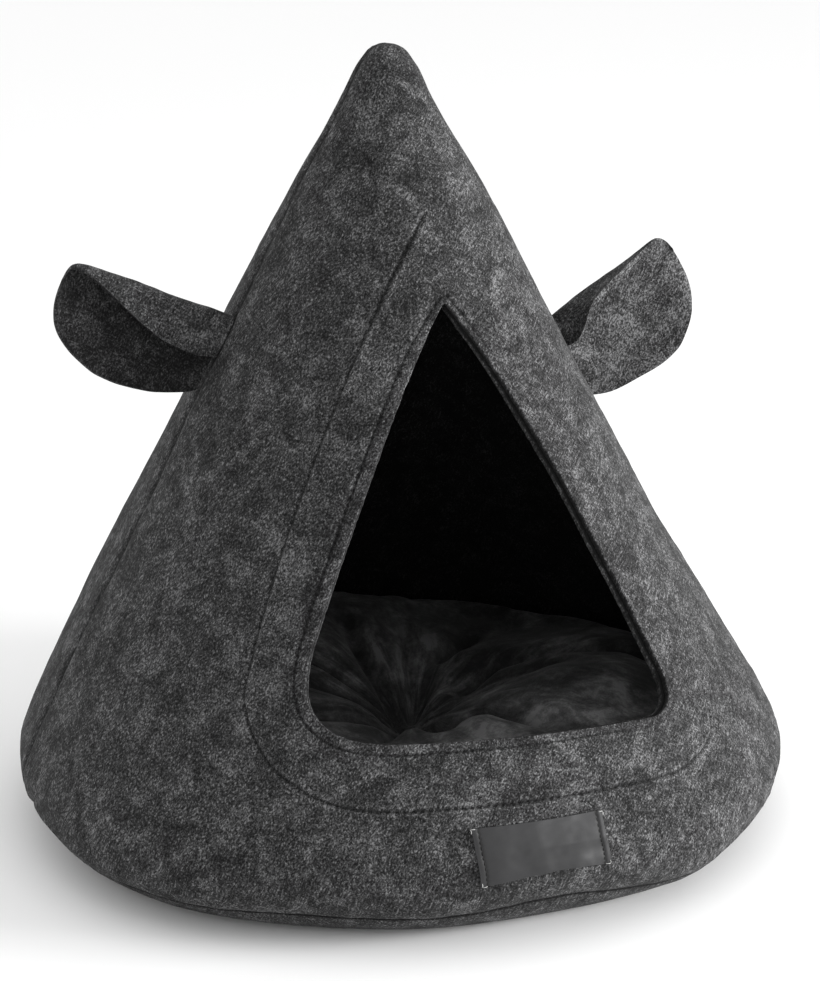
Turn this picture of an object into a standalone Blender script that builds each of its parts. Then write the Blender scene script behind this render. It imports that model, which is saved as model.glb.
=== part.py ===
"""Felt cat cave: a pointed round tent of thick felt with a tall doorway, two folded ears and a cushion.

The wall is a front and a back panel, sewn together up both sides, and a base with a turned-up rim.
A second layer of felt, the facing, lines the wall round the doorway.
Metres, +Z up. The origin is the middle of the underside, the doorway faces -Y.
An azimuth is counted from the front, and is positive towards +X.
A run is a length along the outside of the wall, counted from the tip down.
"""
from math import atan2, cos, exp, hypot, pi, radians, sin

import bmesh
import bpy
import numpy as np
from mathutils import Matrix, Vector

# ---- Felt -------------------------------------------------------------------------------------
FELT = 0.003
GAP = 0.0003

# ---- Side of the wall, as an upright section ----------------------------------------------------
SIDE_SECTION = (
    # height, radius of the outer face
    (0.0000, 0.1900),
    (0.0070, 0.2085),
    (0.0165, 0.2195),
    (0.0290, 0.2292),
    (0.0430, 0.2297),
    (0.0570, 0.2237),
    (0.0950, 0.2028),
    (0.1620, 0.1643),
    (0.2670, 0.1086),
    (0.3810, 0.0490),
    (0.4235, 0.0246),
    (0.4430, 0.0145),
    (0.4500, 0.0085),
    (0.4525, 0.0000),
)
FOOT_SEAM_HEIGHT = 0.0165
CONE_HALF_ANGLE = radians(27.9)
FLAT_TO_ROUND = 1.0 / sin(CONE_HALF_ANGLE)
WIDEST = 0.2297

# ---- Unevenness of the soft wall ----------------------------------------------------------------
FOOT_SPREAD = (-0.003, 0.002, -0.002, -0.003, -0.002, 0.000, 0.001, -0.002, -0.007, -0.0015, 0.010, 0.001)
SPREAD_FADE_HEIGHT = 0.20
UPPER_LEAN = (-0.0066, 0.0022)
LEAN_FULL_HEIGHT = 0.20
FOOT_RIPPLES = (
    # azimuth, half width in degrees, rise of the seam
    (5.0, 11.0, 0.0070),
    (30.0, 9.0, -0.0045),
    (-27.0, 10.0, 0.0025),
    (105.0, 14.0, 0.0030),
    (170.0, 16.0, -0.0025),
    (-125.0, 13.0, 0.0028),
)
RIPPLE_TOP = 0.055

# ---- Doorway and facing, drawn on the flat front panel: sideways, run ------------------------------
DOOR = {
    "top": (0.0064, 0.1572),
    "right_side": (0.1001, 0.3132),
    "right_foot": (0.1112, 0.3946),
    "right_ease": 0.0255,
    "left_side": (0.0036, 0.1509),
    "left_foot": (-0.1179, 0.3878),
    "left_ease": 0.0635,
    "foot_dip": 0.0072,
}
STITCH = {
    "top": (0.0031, 0.1055),
    "right_side": (0.1961, 0.3865),
    "right_foot": (0.1161, 0.4253),
    "right_ease": 0.0282,
    "left_side": (-0.1805, 0.3979),
    "left_foot": (-0.1332, 0.4218),
    "left_ease": 0.0732,
    "foot_dip": 0.0101,
}
OUTLINE_STEPS = 24
CORNER_STEPS = 12
FACING_MARGIN = 0.005
FACING_MIDDLE = 0.45
PANEL_RINGS = (0.30, 0.55, 0.75, 0.88, 0.95, 1.0)
FACING_LIFT = 0.0008
FACING_EDGE_LIFT = 0.0004
GROOVE_DEPTH = 0.0009
GROOVE_HALF_WIDTH = 0.0025

# ---- Ears ---------------------------------------------------------------------------------------
EAR_COLUMNS = {"drop": 1, "lobe": 2, "flap": 3, "half_fold": 4, "flap_turn": 5, "lobe_curl": 6}
EARS = {
    "ear_left": {
        "side": -1,
        "top_height": 0.3015,
        "tilt": radians(23.9),
        "length": 0.1005,
        "sections": (
            # share of the length, drop of the fold, felt of the lobe behind, felt of the flap in front,
            # felt of half the fold, turn of the flap from level in degrees, curl of the lobe in degrees
            (0.000, 0.0000, 0.0480, 0.0255, 0.0048, 90.0, 0.0),
            (0.050, 0.0000, 0.0510, 0.0265, 0.0056, 89.0, 4.0),
            (0.150, 0.0000, 0.0545, 0.0285, 0.0072, 86.0, 11.0),
            (0.340, 0.0000, 0.0600, 0.0280, 0.0100, 82.0, 21.0),
            (0.500, 0.0000, 0.0620, 0.0240, 0.0115, 78.0, 26.0),
            (0.620, 0.0000, 0.0610, 0.0190, 0.0115, 78.0, 26.0),
            (0.760, 0.0000, 0.0560, 0.0125, 0.0112, 79.0, 25.0),
            (0.880, 0.0000, 0.0480, 0.0068, 0.0100, 82.0, 22.0),
            (0.940, 0.0005, 0.0400, 0.0042, 0.0090, 84.0, 20.0),
            (0.975, 0.0025, 0.0290, 0.0025, 0.0080, 84.0, 18.0),
            (0.992, 0.0060, 0.0170, 0.0018, 0.0070, 84.0, 16.0),
            (1.000, 0.0120, 0.0030, 0.0012, 0.0060, 84.0, 14.0),
        ),
    },
    "ear_right": {
        "side": 1,
        "top_height": 0.2848,
        "tilt": radians(33.2),
        "length": 0.0835,
        "sections": (
            # columns as above
            (0.000, 0.0000, 0.0570, 0.0200, 0.0048, 90.0, 0.0),
            (0.060, 0.0000, 0.0610, 0.0205, 0.0066, 74.0, 5.0),
            (0.140, 0.0000, 0.0655, 0.0198, 0.0095, 42.0, 12.0),
            (0.270, 0.0000, 0.0690, 0.0172, 0.0125, 9.0, 20.0),
            (0.500, 0.0000, 0.0710, 0.0120, 0.0130, -8.0, 26.0),
            (0.630, 0.0000, 0.0685, 0.0080, 0.0112, -12.0, 26.0),
            (0.740, 0.0000, 0.0620, 0.0048, 0.0088, -14.0, 25.0),
            (0.860, 0.0000, 0.0520, 0.0026, 0.0066, -14.0, 22.0),
            (0.930, 0.0005, 0.0425, 0.0018, 0.0056, -12.0, 20.0),
            (0.965, 0.0025, 0.0330, 0.0014, 0.0052, -10.0, 18.0),
            (0.988, 0.0065, 0.0195, 0.0012, 0.0050, -8.0, 16.0),
            (1.000, 0.0130, 0.0035, 0.0010, 0.0048, -5.0, 14.0),
        ),
    },
}
EAR_CURL_REACH = 0.05
EAR_SQUARE_SHARE = 0.3
EAR_ROOT_REACH = 0.05
EAR_ROOT_GAP = GAP + 0.0006
EAR_FINE_STEPS = 60
EAR_END_CROWDING = 0.9

# ---- Label --------------------------------------------------------------------------------------
LABEL_WIDTH = 0.0755
LABEL_HEIGHT = 0.0330
LABEL_AZIMUTH = radians(2.1)
LABEL_TOP_RUN = 0.4450
LABEL_THICKNESS = 0.0010
LABEL_FOLD_THICKNESS = 0.0016
LABEL_FOLD_WIDTH = 0.0040
LABEL_FOLD_STEP = 1.3
LABEL_GAP = 0.0006

# ---- Cushion ------------------------------------------------------------------------------------
CUSHION_RADIUS = 0.205
CUSHION_SECTION = (
    # share of the radius, height of the top face, height of the underside
    (0.00, 0.036, 0.0033),
    (0.08, 0.040, 0.0033),
    (0.20, 0.056, 0.0033),
    (0.38, 0.070, 0.0033),
    (0.58, 0.075, 0.0033),
    (0.76, 0.071, 0.0033),
    (0.89, 0.060, 0.0075),
    (0.97, 0.046, 0.0170),
    (1.00, 0.032, 0.0310),
)
CUSHION_CREASE_END = 0.9
CUSHION_CREASES = (
    # azimuth, half width in degrees, depth
    (15.0, 13.0, 0.009),
    (75.0, 10.0, 0.007),
    (128.0, 14.0, 0.010),
    (190.0, 12.0, 0.008),
    (248.0, 15.0, 0.009),
    (310.0, 11.0, 0.007),
)

# ---- How finely the faces are cut ----------------------------------------------------------------
SIDE_STEPS = 20
END_CROWDING = 0.6
BASE_RIM_STEPS = 6
BASE_RING_WIDTH = 0.015
HALF_ROUND_STEPS = 28
EAR_LENGTH_STEPS = 14
EAR_ACROSS_STEPS = 16
CUSHION_STEPS = 48


# ---- Curves ---------------------------------------------------------------------------------------
def through(points, first_tangent=None, last_tangent=None, steps=16):
    """Points of a smooth curve through the given ones."""
    points = [np.array(point, dtype=float) for point in points]
    spans = [np.linalg.norm(b - a) for a, b in zip(points, points[1:])]
    slopes = [(b - a) / span for a, b, span in zip(points, points[1:], spans)]
    tangents = [slopes[0] if first_tangent is None else np.array(first_tangent, dtype=float)]
    for k in range(1, len(points) - 1):
        before, after = spans[k - 1], spans[k]
        tangents.append((slopes[k - 1] * after + slopes[k] * before) / (before + after))
    tangents.append(slopes[-1] if last_tangent is None else np.array(last_tangent, dtype=float))
    curve = [points[0]]
    for k, span in enumerate(spans):
        for step in range(1, steps + 1):
            t = step / steps
            curve.append(
                points[k] * (1 + 2 * t) * (1 - t) ** 2
                + tangents[k] * span * t * (1 - t) ** 2
                + points[k + 1] * t * t * (3 - 2 * t)
                + tangents[k + 1] * span * t * t * (t - 1)
            )
    return np.array(curve)


def lengths(points):
    """Length along a line of points, at each point."""
    steps = np.linalg.norm(np.diff(points, axis=0), axis=1)
    return np.concatenate([[0.0], np.cumsum(steps)])


def spaced(points, shares):
    """The points of a line at the given shares of its length."""
    run = lengths(points)
    wanted = np.array(shares) * run[-1]
    return np.column_stack([np.interp(wanted, run, column) for column in points.T])


def table_value(rows, share, column):
    """A smooth value from a table whose first column is the share."""
    shares = [row[0] for row in rows]
    values = [row[column] for row in rows]
    k = min(max(np.searchsorted(shares, share) - 1, 0), len(rows) - 2)
    slopes = [(values[i + 1] - values[i]) / (shares[i + 1] - shares[i]) for i in range(len(rows) - 1)]

    def slope_at(i):
        if i == 0:
            return slopes[0]
        if i == len(rows) - 1:
            return slopes[-1]
        if slopes[i - 1] * slopes[i] <= 0:
            return 0.0
        return 2 * slopes[i - 1] * slopes[i] / (slopes[i - 1] + slopes[i])

    width = shares[k + 1] - shares[k]
    t = (share - shares[k]) / width
    return (
        values[k] * (1 + 2 * t) * (1 - t) ** 2
        + slope_at(k) * width * t * (1 - t) ** 2
        + values[k + 1] * t * t * (3 - 2 * t)
        + slope_at(k + 1) * width * t * t * (t - 1)
    )


def ease(t):
    """Smooth step from 0 to 1."""
    t = min(max(t, 0.0), 1.0)
    return t * t * (3 - 2 * t)


def even(steps):
    """Evenly spaced shares from 0 to 1."""
    return [step / steps for step in range(steps + 1)]


def end_heavy(steps):
    """Shares from 0 to 1, closer together near both ends."""
    return [share - END_CROWDING * sin(2 * pi * share) / (2 * pi) for share in even(steps)]


# ---- Shape of the wall ------------------------------------------------------------------------------
SIDE_CURVE = through([(radius, height) for height, radius in SIDE_SECTION], (1.0, 0.0), (-1.0, 0.0))[::-1]
SIDE_RUNS = lengths(SIDE_CURVE)
FLOOR_RUN = SIDE_RUNS[-1]
FLOOR_RADIUS = SIDE_SECTION[0][1]
FOOT_RUN = float(np.interp(-FOOT_SEAM_HEIGHT, -SIDE_CURVE[:, 1], SIDE_RUNS))
BASE_CENTRE_RUN = FLOOR_RUN + FLOOR_RADIUS
NORMAL_REACH = 0.0004


def side_section(run):
    """Radius and height of the outer face at a run, which goes on under the base to its middle."""
    if run >= FLOOR_RUN:
        return np.array([BASE_CENTRE_RUN - run, 0.0])
    return np.array([np.interp(run, SIDE_RUNS, SIDE_CURVE[:, k]) for k in range(2)])


def side_normal(run):
    """Outward direction in the section at a run."""
    if run >= FLOOR_RUN:
        return np.array([0.0, -1.0])
    if run <= NORMAL_REACH:
        return np.array([0.0, 1.0])
    along = side_section(run + NORMAL_REACH) - side_section(run - NORMAL_REACH)
    along /= np.linalg.norm(along)
    return np.array([-along[1], along[0]])


def foot_spread(azimuth):
    """How far the foot of the wall stands out of round, from a table that goes round in equal steps."""
    count = len(FOOT_SPREAD)
    place = (azimuth / (2 * pi) * count) % count
    k = int(place)
    t = place - k
    a, b, c, d = (FOOT_SPREAD[(k + i) % count] for i in (-1, 0, 1, 2))
    first, second = (c - a) / 2, a - 2.5 * b + 2 * c - d / 2
    third = 1.5 * (b - c) + (d - a) / 2
    return b + t * first + t * t * second + t ** 3 * third


def foot_rise(azimuth):
    """How far the foot seam wanders up or down."""
    rise = 0.0
    for centre, half_width, height in FOOT_RIPPLES:
        turn = (azimuth - radians(centre) + pi) % (2 * pi) - pi
        rise += height * exp(-((turn / radians(half_width)) ** 2))
    return rise


def wall_point(azimuth, run, depth=0.0):
    """A point at a depth below the outer face of the wall or the base."""
    face_radius, face_height = side_section(run)
    radius, height = side_section(run) - side_normal(run) * depth
    radius += foot_spread(azimuth) * (1 - ease(face_height / SPREAD_FADE_HEIGHT)) * face_radius / WIDEST
    ripple = sin(pi * min(face_height / RIPPLE_TOP, 1.0))
    lean = ease(face_height / LEAN_FULL_HEIGHT)
    return Vector((
        radius * sin(azimuth) + UPPER_LEAN[0] * lean,
        -radius * cos(azimuth) + UPPER_LEAN[1] * lean,
        height + foot_rise(azimuth) * ripple,
    ))


def panel_point(flat, depth):
    """A point of the front panel from its place on the flat felt."""
    sideways, run = flat
    azimuth = atan2(sideways, run) * FLAT_TO_ROUND
    return wall_point(azimuth, hypot(sideways, run), depth)


# ---- Outlines on the flat felt ------------------------------------------------------------------------
def bow(start, control, end, steps=OUTLINE_STEPS):
    """A gently bowed line, as a quadratic curve."""
    start, control, end = (np.array(point) for point in (start, control, end))
    return np.array([
        start * (1 - t) ** 2 + control * 2 * t * (1 - t) + end * t * t
        for t in even(steps)
    ])


def cut_back(line, distance):
    """A line without the given length at its end."""
    run = lengths(line)
    return spaced(line, [share * (1 - distance / run[-1]) for share in even(len(line) - 1)])


def outline(shape):
    """Closed outline of a pointed opening with eased foot corners, from its top round by the right."""
    right = cut_back(bow(shape["top"], shape["right_side"], shape["right_foot"]), shape["right_ease"])
    left = cut_back(bow(shape["top"], shape["left_side"], shape["left_foot"]), shape["left_ease"])
    foot = np.array(shape["left_foot"]) - np.array(shape["right_foot"])
    foot /= np.linalg.norm(foot)
    right_end = np.array(shape["right_foot"]) + foot * shape["right_ease"]
    left_end = np.array(shape["left_foot"]) - foot * shape["left_ease"]
    right_corner = bow(right[-1], shape["right_foot"], right_end, CORNER_STEPS)
    left_corner = bow(left[-1], shape["left_foot"], left_end, CORNER_STEPS)
    half = CORNER_STEPS // 2
    right_run = spaced(np.vstack([right, right_corner[1:half + 1]]), even(SIDE_STEPS))
    foot_run = spaced(np.vstack([right_corner[half:], left_corner[half:][::-1]]), even(HALF_ROUND_STEPS))
    foot_run[:, 1] += [shape["foot_dip"] * sin(pi * share) for share in even(HALF_ROUND_STEPS)]
    left_run = spaced(np.vstack([left, left_corner[1:half + 1]]), even(SIDE_STEPS))
    return np.vstack([right_run[:-1], foot_run[:-1], left_run[::-1][:-1]])


def panel_border():
    """Border of the flat front panel, with a point for each point of an outline."""
    half_angle = pi / 2 / FLAT_TO_ROUND
    seam_end = np.array([FOOT_RUN * sin(half_angle), FOOT_RUN * cos(half_angle)])
    right = [tuple(seam_end * share) for share in end_heavy(SIDE_STEPS)]
    turns = [half_angle * (1 - 2 * share) for share in even(HALF_ROUND_STEPS)]
    foot = [(FOOT_RUN * sin(turn), FOOT_RUN * cos(turn)) for turn in turns]
    left = [(-sideways, run) for sideways, run in right]
    return np.vstack([right[:-1], foot[:-1], left[::-1][:-1]])


def widened(points, distance):
    """A closed outline moved outwards by a distance."""
    along = np.roll(points, -1, axis=0) - np.roll(points, 1, axis=0)
    along /= np.linalg.norm(along, axis=1)[:, None]
    outward = np.column_stack([along[:, 1], -along[:, 0]])
    return points + outward * distance


# ---- Solids -------------------------------------------------------------------------------------------
def cloth_material(name, colour, roughness):
    material = bpy.data.materials.new(name)
    material.use_nodes = True
    shader = material.node_tree.nodes["Principled BSDF"]
    shader.inputs["Base Color"].default_value = (*colour, 1.0)
    shader.inputs["Roughness"].default_value = roughness
    shader.inputs["Metallic"].default_value = 0.0
    return material


def make_object(name, points, faces, material, smooth_angle=40.0):
    """A closed solid from points and faces, its faces turned outwards."""
    mesh = bpy.data.meshes.new(name)
    mesh.from_pydata([tuple(point) for point in points], [], faces)
    shape = bmesh.new()
    shape.from_mesh(mesh)
    bmesh.ops.remove_doubles(shape, verts=shape.verts, dist=1e-6)
    bmesh.ops.dissolve_degenerate(shape, edges=shape.edges, dist=1e-7)
    bmesh.ops.recalc_face_normals(shape, faces=shape.faces)
    shape.to_mesh(mesh)
    shape.free()
    mesh.shade_smooth()
    mesh.set_sharp_from_angle(angle=radians(smooth_angle))
    mesh.materials.append(material)
    thing = bpy.data.objects.new(name, mesh)
    bpy.context.collection.objects.link(thing)
    return thing


def thick_sheet(name, outer, inner, faces, material):
    """A sheet with its outer and inner points, closed along every free edge."""
    count = len(outer)
    used = {(a, b) for face in faces for a, b in zip(face, face[1:] + face[:1])}
    free = [(a, b) for a, b in used if (b, a) not in used]
    solid = list(faces)
    solid += [tuple(index + count for index in reversed(face)) for face in faces]
    solid += [(b, a, a + count, b + count) for a, b in sorted(free)]
    return make_object(name, list(outer) + list(inner), solid, material)


def ring_faces(loops, count):
    """Faces between closed loops of equal count, the first loop innermost."""
    faces = []
    for loop in range(loops - 1):
        for k in range(count):
            after = (k + 1) % count
            inside, outside = loop * count, (loop + 1) * count
            faces.append((inside + k, outside + k, outside + after))
            faces.append((inside + k, outside + after, inside + after))
    return faces


def grid_faces(rows, columns):
    """Faces of an open grid of points."""
    faces = []
    for row in range(rows - 1):
        for column in range(columns - 1):
            corner = row * columns + column
            faces.append((corner, corner + 1, corner + columns + 1, corner + columns))
    return faces


# ---- Pieces -------------------------------------------------------------------------------------------
def facing_loops():
    """Loops from the doorway to the facing's edge: points, lift of the panel's outer face, and of its inner face."""
    door = outline(DOOR)
    stitch = outline(STITCH)
    return [
        (door, FACING_LIFT, FACING_LIFT),
        (door + (stitch - door) * FACING_MIDDLE, FACING_LIFT, FACING_LIFT),
        (widened(stitch, -GROOVE_HALF_WIDTH), FACING_LIFT, FACING_LIFT),
        (stitch, -GROOVE_DEPTH, FACING_LIFT),
        (widened(stitch, GROOVE_HALF_WIDTH), 0.0, (FACING_LIFT + FACING_EDGE_LIFT) / 2),
        (widened(stitch, FACING_MARGIN), 0.0, FACING_EDGE_LIFT),
    ]


def front_panel(felt):
    """Front half of the wall, with the doorway cut out and the stitched line of the facing pressed in."""
    stitch = outline(STITCH)
    border = panel_border()
    loops = facing_loops()
    for share in PANEL_RINGS:
        loops.append((stitch + (border - stitch) * share, 0.0, 0.0))
    outer = [panel_point(flat, -lift) for points, lift, _ in loops for flat in points]
    inner = [panel_point(flat, FELT - lift) for points, _, lift in loops for flat in points]
    panel = thick_sheet("front_panel", outer, inner, ring_faces(len(loops), len(stitch)), felt)
    panel.data.transform(Matrix.Translation((0.0, -GAP / 2, 0.0)))
    return panel


def facing(felt):
    """Second layer of felt behind the front panel, round the doorway."""
    loops = facing_loops()
    outer = [panel_point(flat, FELT + GAP - lift) for points, _, lift in loops for flat in points]
    inner = [panel_point(flat, 2 * FELT + GAP - lift) for points, _, lift in loops for flat in points]
    layer = thick_sheet("facing", outer, inner, ring_faces(len(loops), len(loops[0][0])), felt)
    layer.data.transform(Matrix.Translation((0.0, -GAP / 2, 0.0)))
    return layer


def back_panel(felt):
    """Back half of the wall."""
    runs = [FOOT_RUN * share for share in end_heavy(SIDE_STEPS)]
    azimuths = [pi / 2 + pi * share for share in even(HALF_ROUND_STEPS)]
    outer = [wall_point(azimuth, run) for run in runs for azimuth in azimuths]
    inner = [wall_point(azimuth, run, FELT) for run in runs for azimuth in azimuths]
    panel = thick_sheet("back_panel", outer, inner, grid_faces(len(runs), len(azimuths)), felt)
    panel.data.transform(Matrix.Translation((0.0, GAP / 2, 0.0)))
    return panel


def base(felt):
    """Round base, its rim turned up to the foot seam of the wall."""
    top_run = FOOT_RUN + GAP
    runs = [top_run + (FLOOR_RUN - top_run) * share for share in even(BASE_RIM_STEPS)]
    runs.append(FLOOR_RUN + BASE_RING_WIDTH)
    azimuths = [pi * k / HALF_ROUND_STEPS for k in range(2 * HALF_ROUND_STEPS)]
    outer = [wall_point(azimuth, run) for run in runs for azimuth in azimuths]
    inner = [wall_point(azimuth, run, FELT) for run in runs for azimuth in azimuths]
    middle = tuple(range(len(outer) - 1, len(outer) - len(azimuths) - 1, -1))
    return thick_sheet("base", outer, inner, ring_faces(len(runs), len(azimuths)) + [middle], felt)


def half_section(length, half_fold, turn, curl, sign):
    """Middle line of the felt from the top of an ear's fold, down one side."""
    spot = np.zeros(2)
    line = [spot]
    for step in range(EAR_FINE_STEPS):
        gone = length * (step + 0.5) / EAR_FINE_STEPS
        angle = turn * min(gone / half_fold, 1.0) + curl * max(gone - half_fold, 0.0) / EAR_CURL_REACH
        spot = spot + length / EAR_FINE_STEPS * np.array([sign * cos(angle), -sin(angle)])
        line.append(spot)
    return np.array(line)


def ear_section(sections, share):
    """Middle line of an ear's felt across its fold, as (forward, up) from the top of the fold."""
    value = {name: table_value(sections, share, column) for name, column in EAR_COLUMNS.items()}
    lobe = half_section(value["lobe"], value["half_fold"], pi / 2, radians(value["lobe_curl"]), -1)
    flap = half_section(value["flap"], value["half_fold"], radians(value["flap_turn"]), 0.0, 1)
    line = np.vstack([lobe[::-1], flap[1:]])
    return spaced(line, even(EAR_ACROSS_STEPS)) - (0.0, value["drop"])


def ear(name, shape, felt):
    """One ear: a round piece of felt folded over at its top and sewn into the side seam."""
    side, tilt = shape["side"], shape["tilt"]
    azimuth = side * pi / 2
    top_run = float(np.interp(-shape["top_height"], -SIDE_CURVE[:, 1], SIDE_RUNS))
    root = wall_point(azimuth, top_run)
    below = wall_point(azimuth, top_run + EAR_ROOT_REACH)
    wall_down = (below - root).normalized()
    along = Vector((side * cos(tilt), 0.0, sin(tilt)))
    square_down = Vector((side * sin(tilt), 0.0, -cos(tilt)))
    forward = Vector((0.0, -1.0, 0.0))
    wall_out = Vector((-wall_down.z * side, 0.0, wall_down.x * side)).normalized()
    root = root + wall_out * EAR_ROOT_GAP
    shares = [sin(pi / 2 * t) ** EAR_END_CROWDING for t in even(EAR_LENGTH_STEPS)]
    outer, inner = [], []
    for share in shares:
        down = wall_down.lerp(square_down, ease(share / EAR_SQUARE_SHARE)).normalized()
        centre = root + along * (shape["length"] * share)
        line = ear_section(shape["sections"], share)
        ahead = np.gradient(line, axis=0)
        ahead /= np.linalg.norm(ahead, axis=1)[:, None]
        normal = np.column_stack([-ahead[:, 1], ahead[:, 0]])
        for sheet, offset in ((outer, FELT / 2), (inner, -FELT / 2)):
            for forwards, up in line + normal * offset:
                sheet.append(centre + forward * forwards - down * (up - FELT / 2))
    return thick_sheet(name, outer, inner, grid_faces(len(shares), EAR_ACROSS_STEPS + 1), felt)


def label(material):
    """Plain woven label on the front of the wall, its two ends folded under."""
    fold = LABEL_FOLD_WIDTH / LABEL_WIDTH
    step = fold * LABEL_FOLD_STEP
    shares = [0.0, fold, step, 0.2, 0.4, 0.6, 0.8, 1 - step, 1 - fold, 1.0]
    heights = [LABEL_TOP_RUN + LABEL_HEIGHT * t for t in even(4)]
    outer, inner = [], []
    for run in heights:
        half_turn = LABEL_WIDTH / side_section(run)[0] / 2
        for share in shares:
            azimuth = LABEL_AZIMUTH + half_turn * (2 * share - 1)
            folded = share <= fold or share >= 1 - fold
            thickness = LABEL_FOLD_THICKNESS if folded else LABEL_THICKNESS
            outer.append(wall_point(azimuth, run, -LABEL_GAP - thickness))
            inner.append(wall_point(azimuth, run, -LABEL_GAP))
    return thick_sheet("label", outer, inner, grid_faces(len(heights), len(shares)), material)


def cushion(material):
    """Round filled cushion, tufted in the middle, its top creased towards the tuft."""
    azimuths = [2 * pi * k / CUSHION_STEPS for k in range(CUSHION_STEPS)]
    top, under = [], []
    for share, high, low in CUSHION_SECTION[1:]:
        for azimuth in azimuths:
            crease = 0.0
            for centre, half_width, depth in CUSHION_CREASES:
                turn = (azimuth - radians(centre) + pi) % (2 * pi) - pi
                crease += depth * exp(-((turn / radians(half_width)) ** 2))
            crease *= sin(pi * min(share / CUSHION_CREASE_END, 1.0))
            radius = CUSHION_RADIUS * share
            top.append((radius * sin(azimuth), -radius * cos(azimuth), high - crease))
            under.append((radius * sin(azimuth), -radius * cos(azimuth), low))
    rings = len(CUSHION_SECTION) - 1
    points = top + under
    faces = ring_faces(rings, CUSHION_STEPS)
    start = rings * CUSHION_STEPS
    faces += [tuple(index + start for index in reversed(face)) for face in faces]
    rim = (rings - 1) * CUSHION_STEPS
    for k in range(CUSHION_STEPS):
        after = (k + 1) % CUSHION_STEPS
        faces.append((rim + k, start + rim + k, start + rim + after, rim + after))
    points.append((0.0, 0.0, CUSHION_SECTION[0][1]))
    points.append((0.0, 0.0, CUSHION_SECTION[0][2]))
    for k in range(CUSHION_STEPS):
        after = (k + 1) % CUSHION_STEPS
        faces.append((len(points) - 2, k, after))
        faces.append((len(points) - 1, start + after, start + k))
    return make_object("cushion", points, faces, material, smooth_angle=70.0)


def build():
    for old in list(bpy.data.objects):
        bpy.data.objects.remove(old)
    felt = cloth_material("charcoal_felt", (0.055, 0.055, 0.056), 0.95)
    woven = cloth_material("woven_label", (0.070, 0.070, 0.072), 0.70)
    plush = cloth_material("dark_plush", (0.020, 0.020, 0.021), 0.90)
    front_panel(felt)
    back_panel(felt)
    facing(felt)
    base(felt)
    for name, shape in EARS.items():
        ear(name, shape, felt)
    label(woven)
    cushion(plush)


build()
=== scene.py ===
"""Looks of a felt cat cave: felt wall and ears, stitched doorway, plain woven label and plush cushion.

Metres, +Z up. The origin is the middle of the underside, the doorway faces -Y.
An azimuth is counted from the front, and is positive towards +X.
A run is a length along the outside of the wall, counted from the tip down.
"""
from math import cos, pi, radians, sin

import bmesh
import bpy
import numpy as np
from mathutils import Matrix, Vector, noise


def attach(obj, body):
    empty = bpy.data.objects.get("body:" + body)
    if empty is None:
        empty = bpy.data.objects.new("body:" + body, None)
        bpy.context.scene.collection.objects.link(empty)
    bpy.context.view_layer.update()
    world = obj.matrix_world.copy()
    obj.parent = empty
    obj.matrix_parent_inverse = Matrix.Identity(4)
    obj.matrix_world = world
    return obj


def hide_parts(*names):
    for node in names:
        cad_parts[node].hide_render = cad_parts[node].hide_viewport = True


bl_info = {
    "name": "Felt Cat Cave",
    "version": (1, 0, 0),
    "blender": (4, 5, 0),
    "location": "View3D > Sidebar > Cat Cave",
    "description": "Felt wall, ears, label, stitching and plush cushion of a pointed cat cave",
    "category": "Object",
}

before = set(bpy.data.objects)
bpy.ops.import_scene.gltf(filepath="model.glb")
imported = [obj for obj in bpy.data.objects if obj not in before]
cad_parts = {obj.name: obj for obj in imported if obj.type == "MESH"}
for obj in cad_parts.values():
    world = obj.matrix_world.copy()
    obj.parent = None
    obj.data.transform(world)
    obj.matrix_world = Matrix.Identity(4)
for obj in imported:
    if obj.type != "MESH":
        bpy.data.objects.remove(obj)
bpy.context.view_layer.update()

# ---- Side of the wall, as an upright section, and its unevenness ----
SIDE_SECTION = (
    # height, radius of the outer face
    (0.0, 0.19), (0.007, 0.2085), (0.0165, 0.2195), (0.029, 0.2292), (0.043, 0.2297), (0.057, 0.2237),
    (0.095, 0.2028), (0.162, 0.1643), (0.267, 0.1086), (0.381, 0.049), (0.4235, 0.0246), (0.443, 0.0145),
    (0.45, 0.0085), (0.4525, 0.0),
)
FOOT_SEAM_HEIGHT = 0.0165
FLAT_TO_ROUND = 1.0 / sin(radians(27.9))
HALF_ANGLE = pi / 2 / FLAT_TO_ROUND
WIDEST = 0.2297
FOOT_SPREAD = (-0.003, 0.002, -0.002, -0.003, -0.002, 0.0, 0.001, -0.002, -0.007, -0.0015, 0.01, 0.001)
SPREAD_FADE_HEIGHT = 0.2
UPPER_LEAN = (-0.0066, 0.0022)
LEAN_FULL_HEIGHT = 0.2
FOOT_RIPPLES = (
    # azimuth, half width in degrees, rise of the seam
    (5.0, 11.0, 0.007), (30.0, 9.0, -0.0045), (-27.0, 10.0, 0.0025),
    (105.0, 14.0, 0.003), (170.0, 16.0, -0.0025), (-125.0, 13.0, 0.0028),
)
RIPPLE_TOP = 0.055
WALL_WAVES = ((22.0, 0.0009), (75.0, 0.0004), (240.0, 0.00014))  # waves per metre, height
EAR_WAVES = ((30.0, 0.001), (120.0, 0.0003))
SOFT_FROM_HEIGHT = 0.012
SEAM_WAVES = ((0.127, 0.0008), (0.046, 0.00035), (0.019, 0.00015))  # length of a wave, stray of the seam
SEAM_SIDES = ((pi / 2, 0.4), (-pi / 2, 2.3))  # azimuth of a side seam, phase of its waves
SEAM_WANDER_REACH = 0.018
SEAM_WANDER_WIDEST = 1.4
SEAM_WANDER_LEAST_RADIUS = 0.012
NORMAL_REACH = 0.0012

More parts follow.
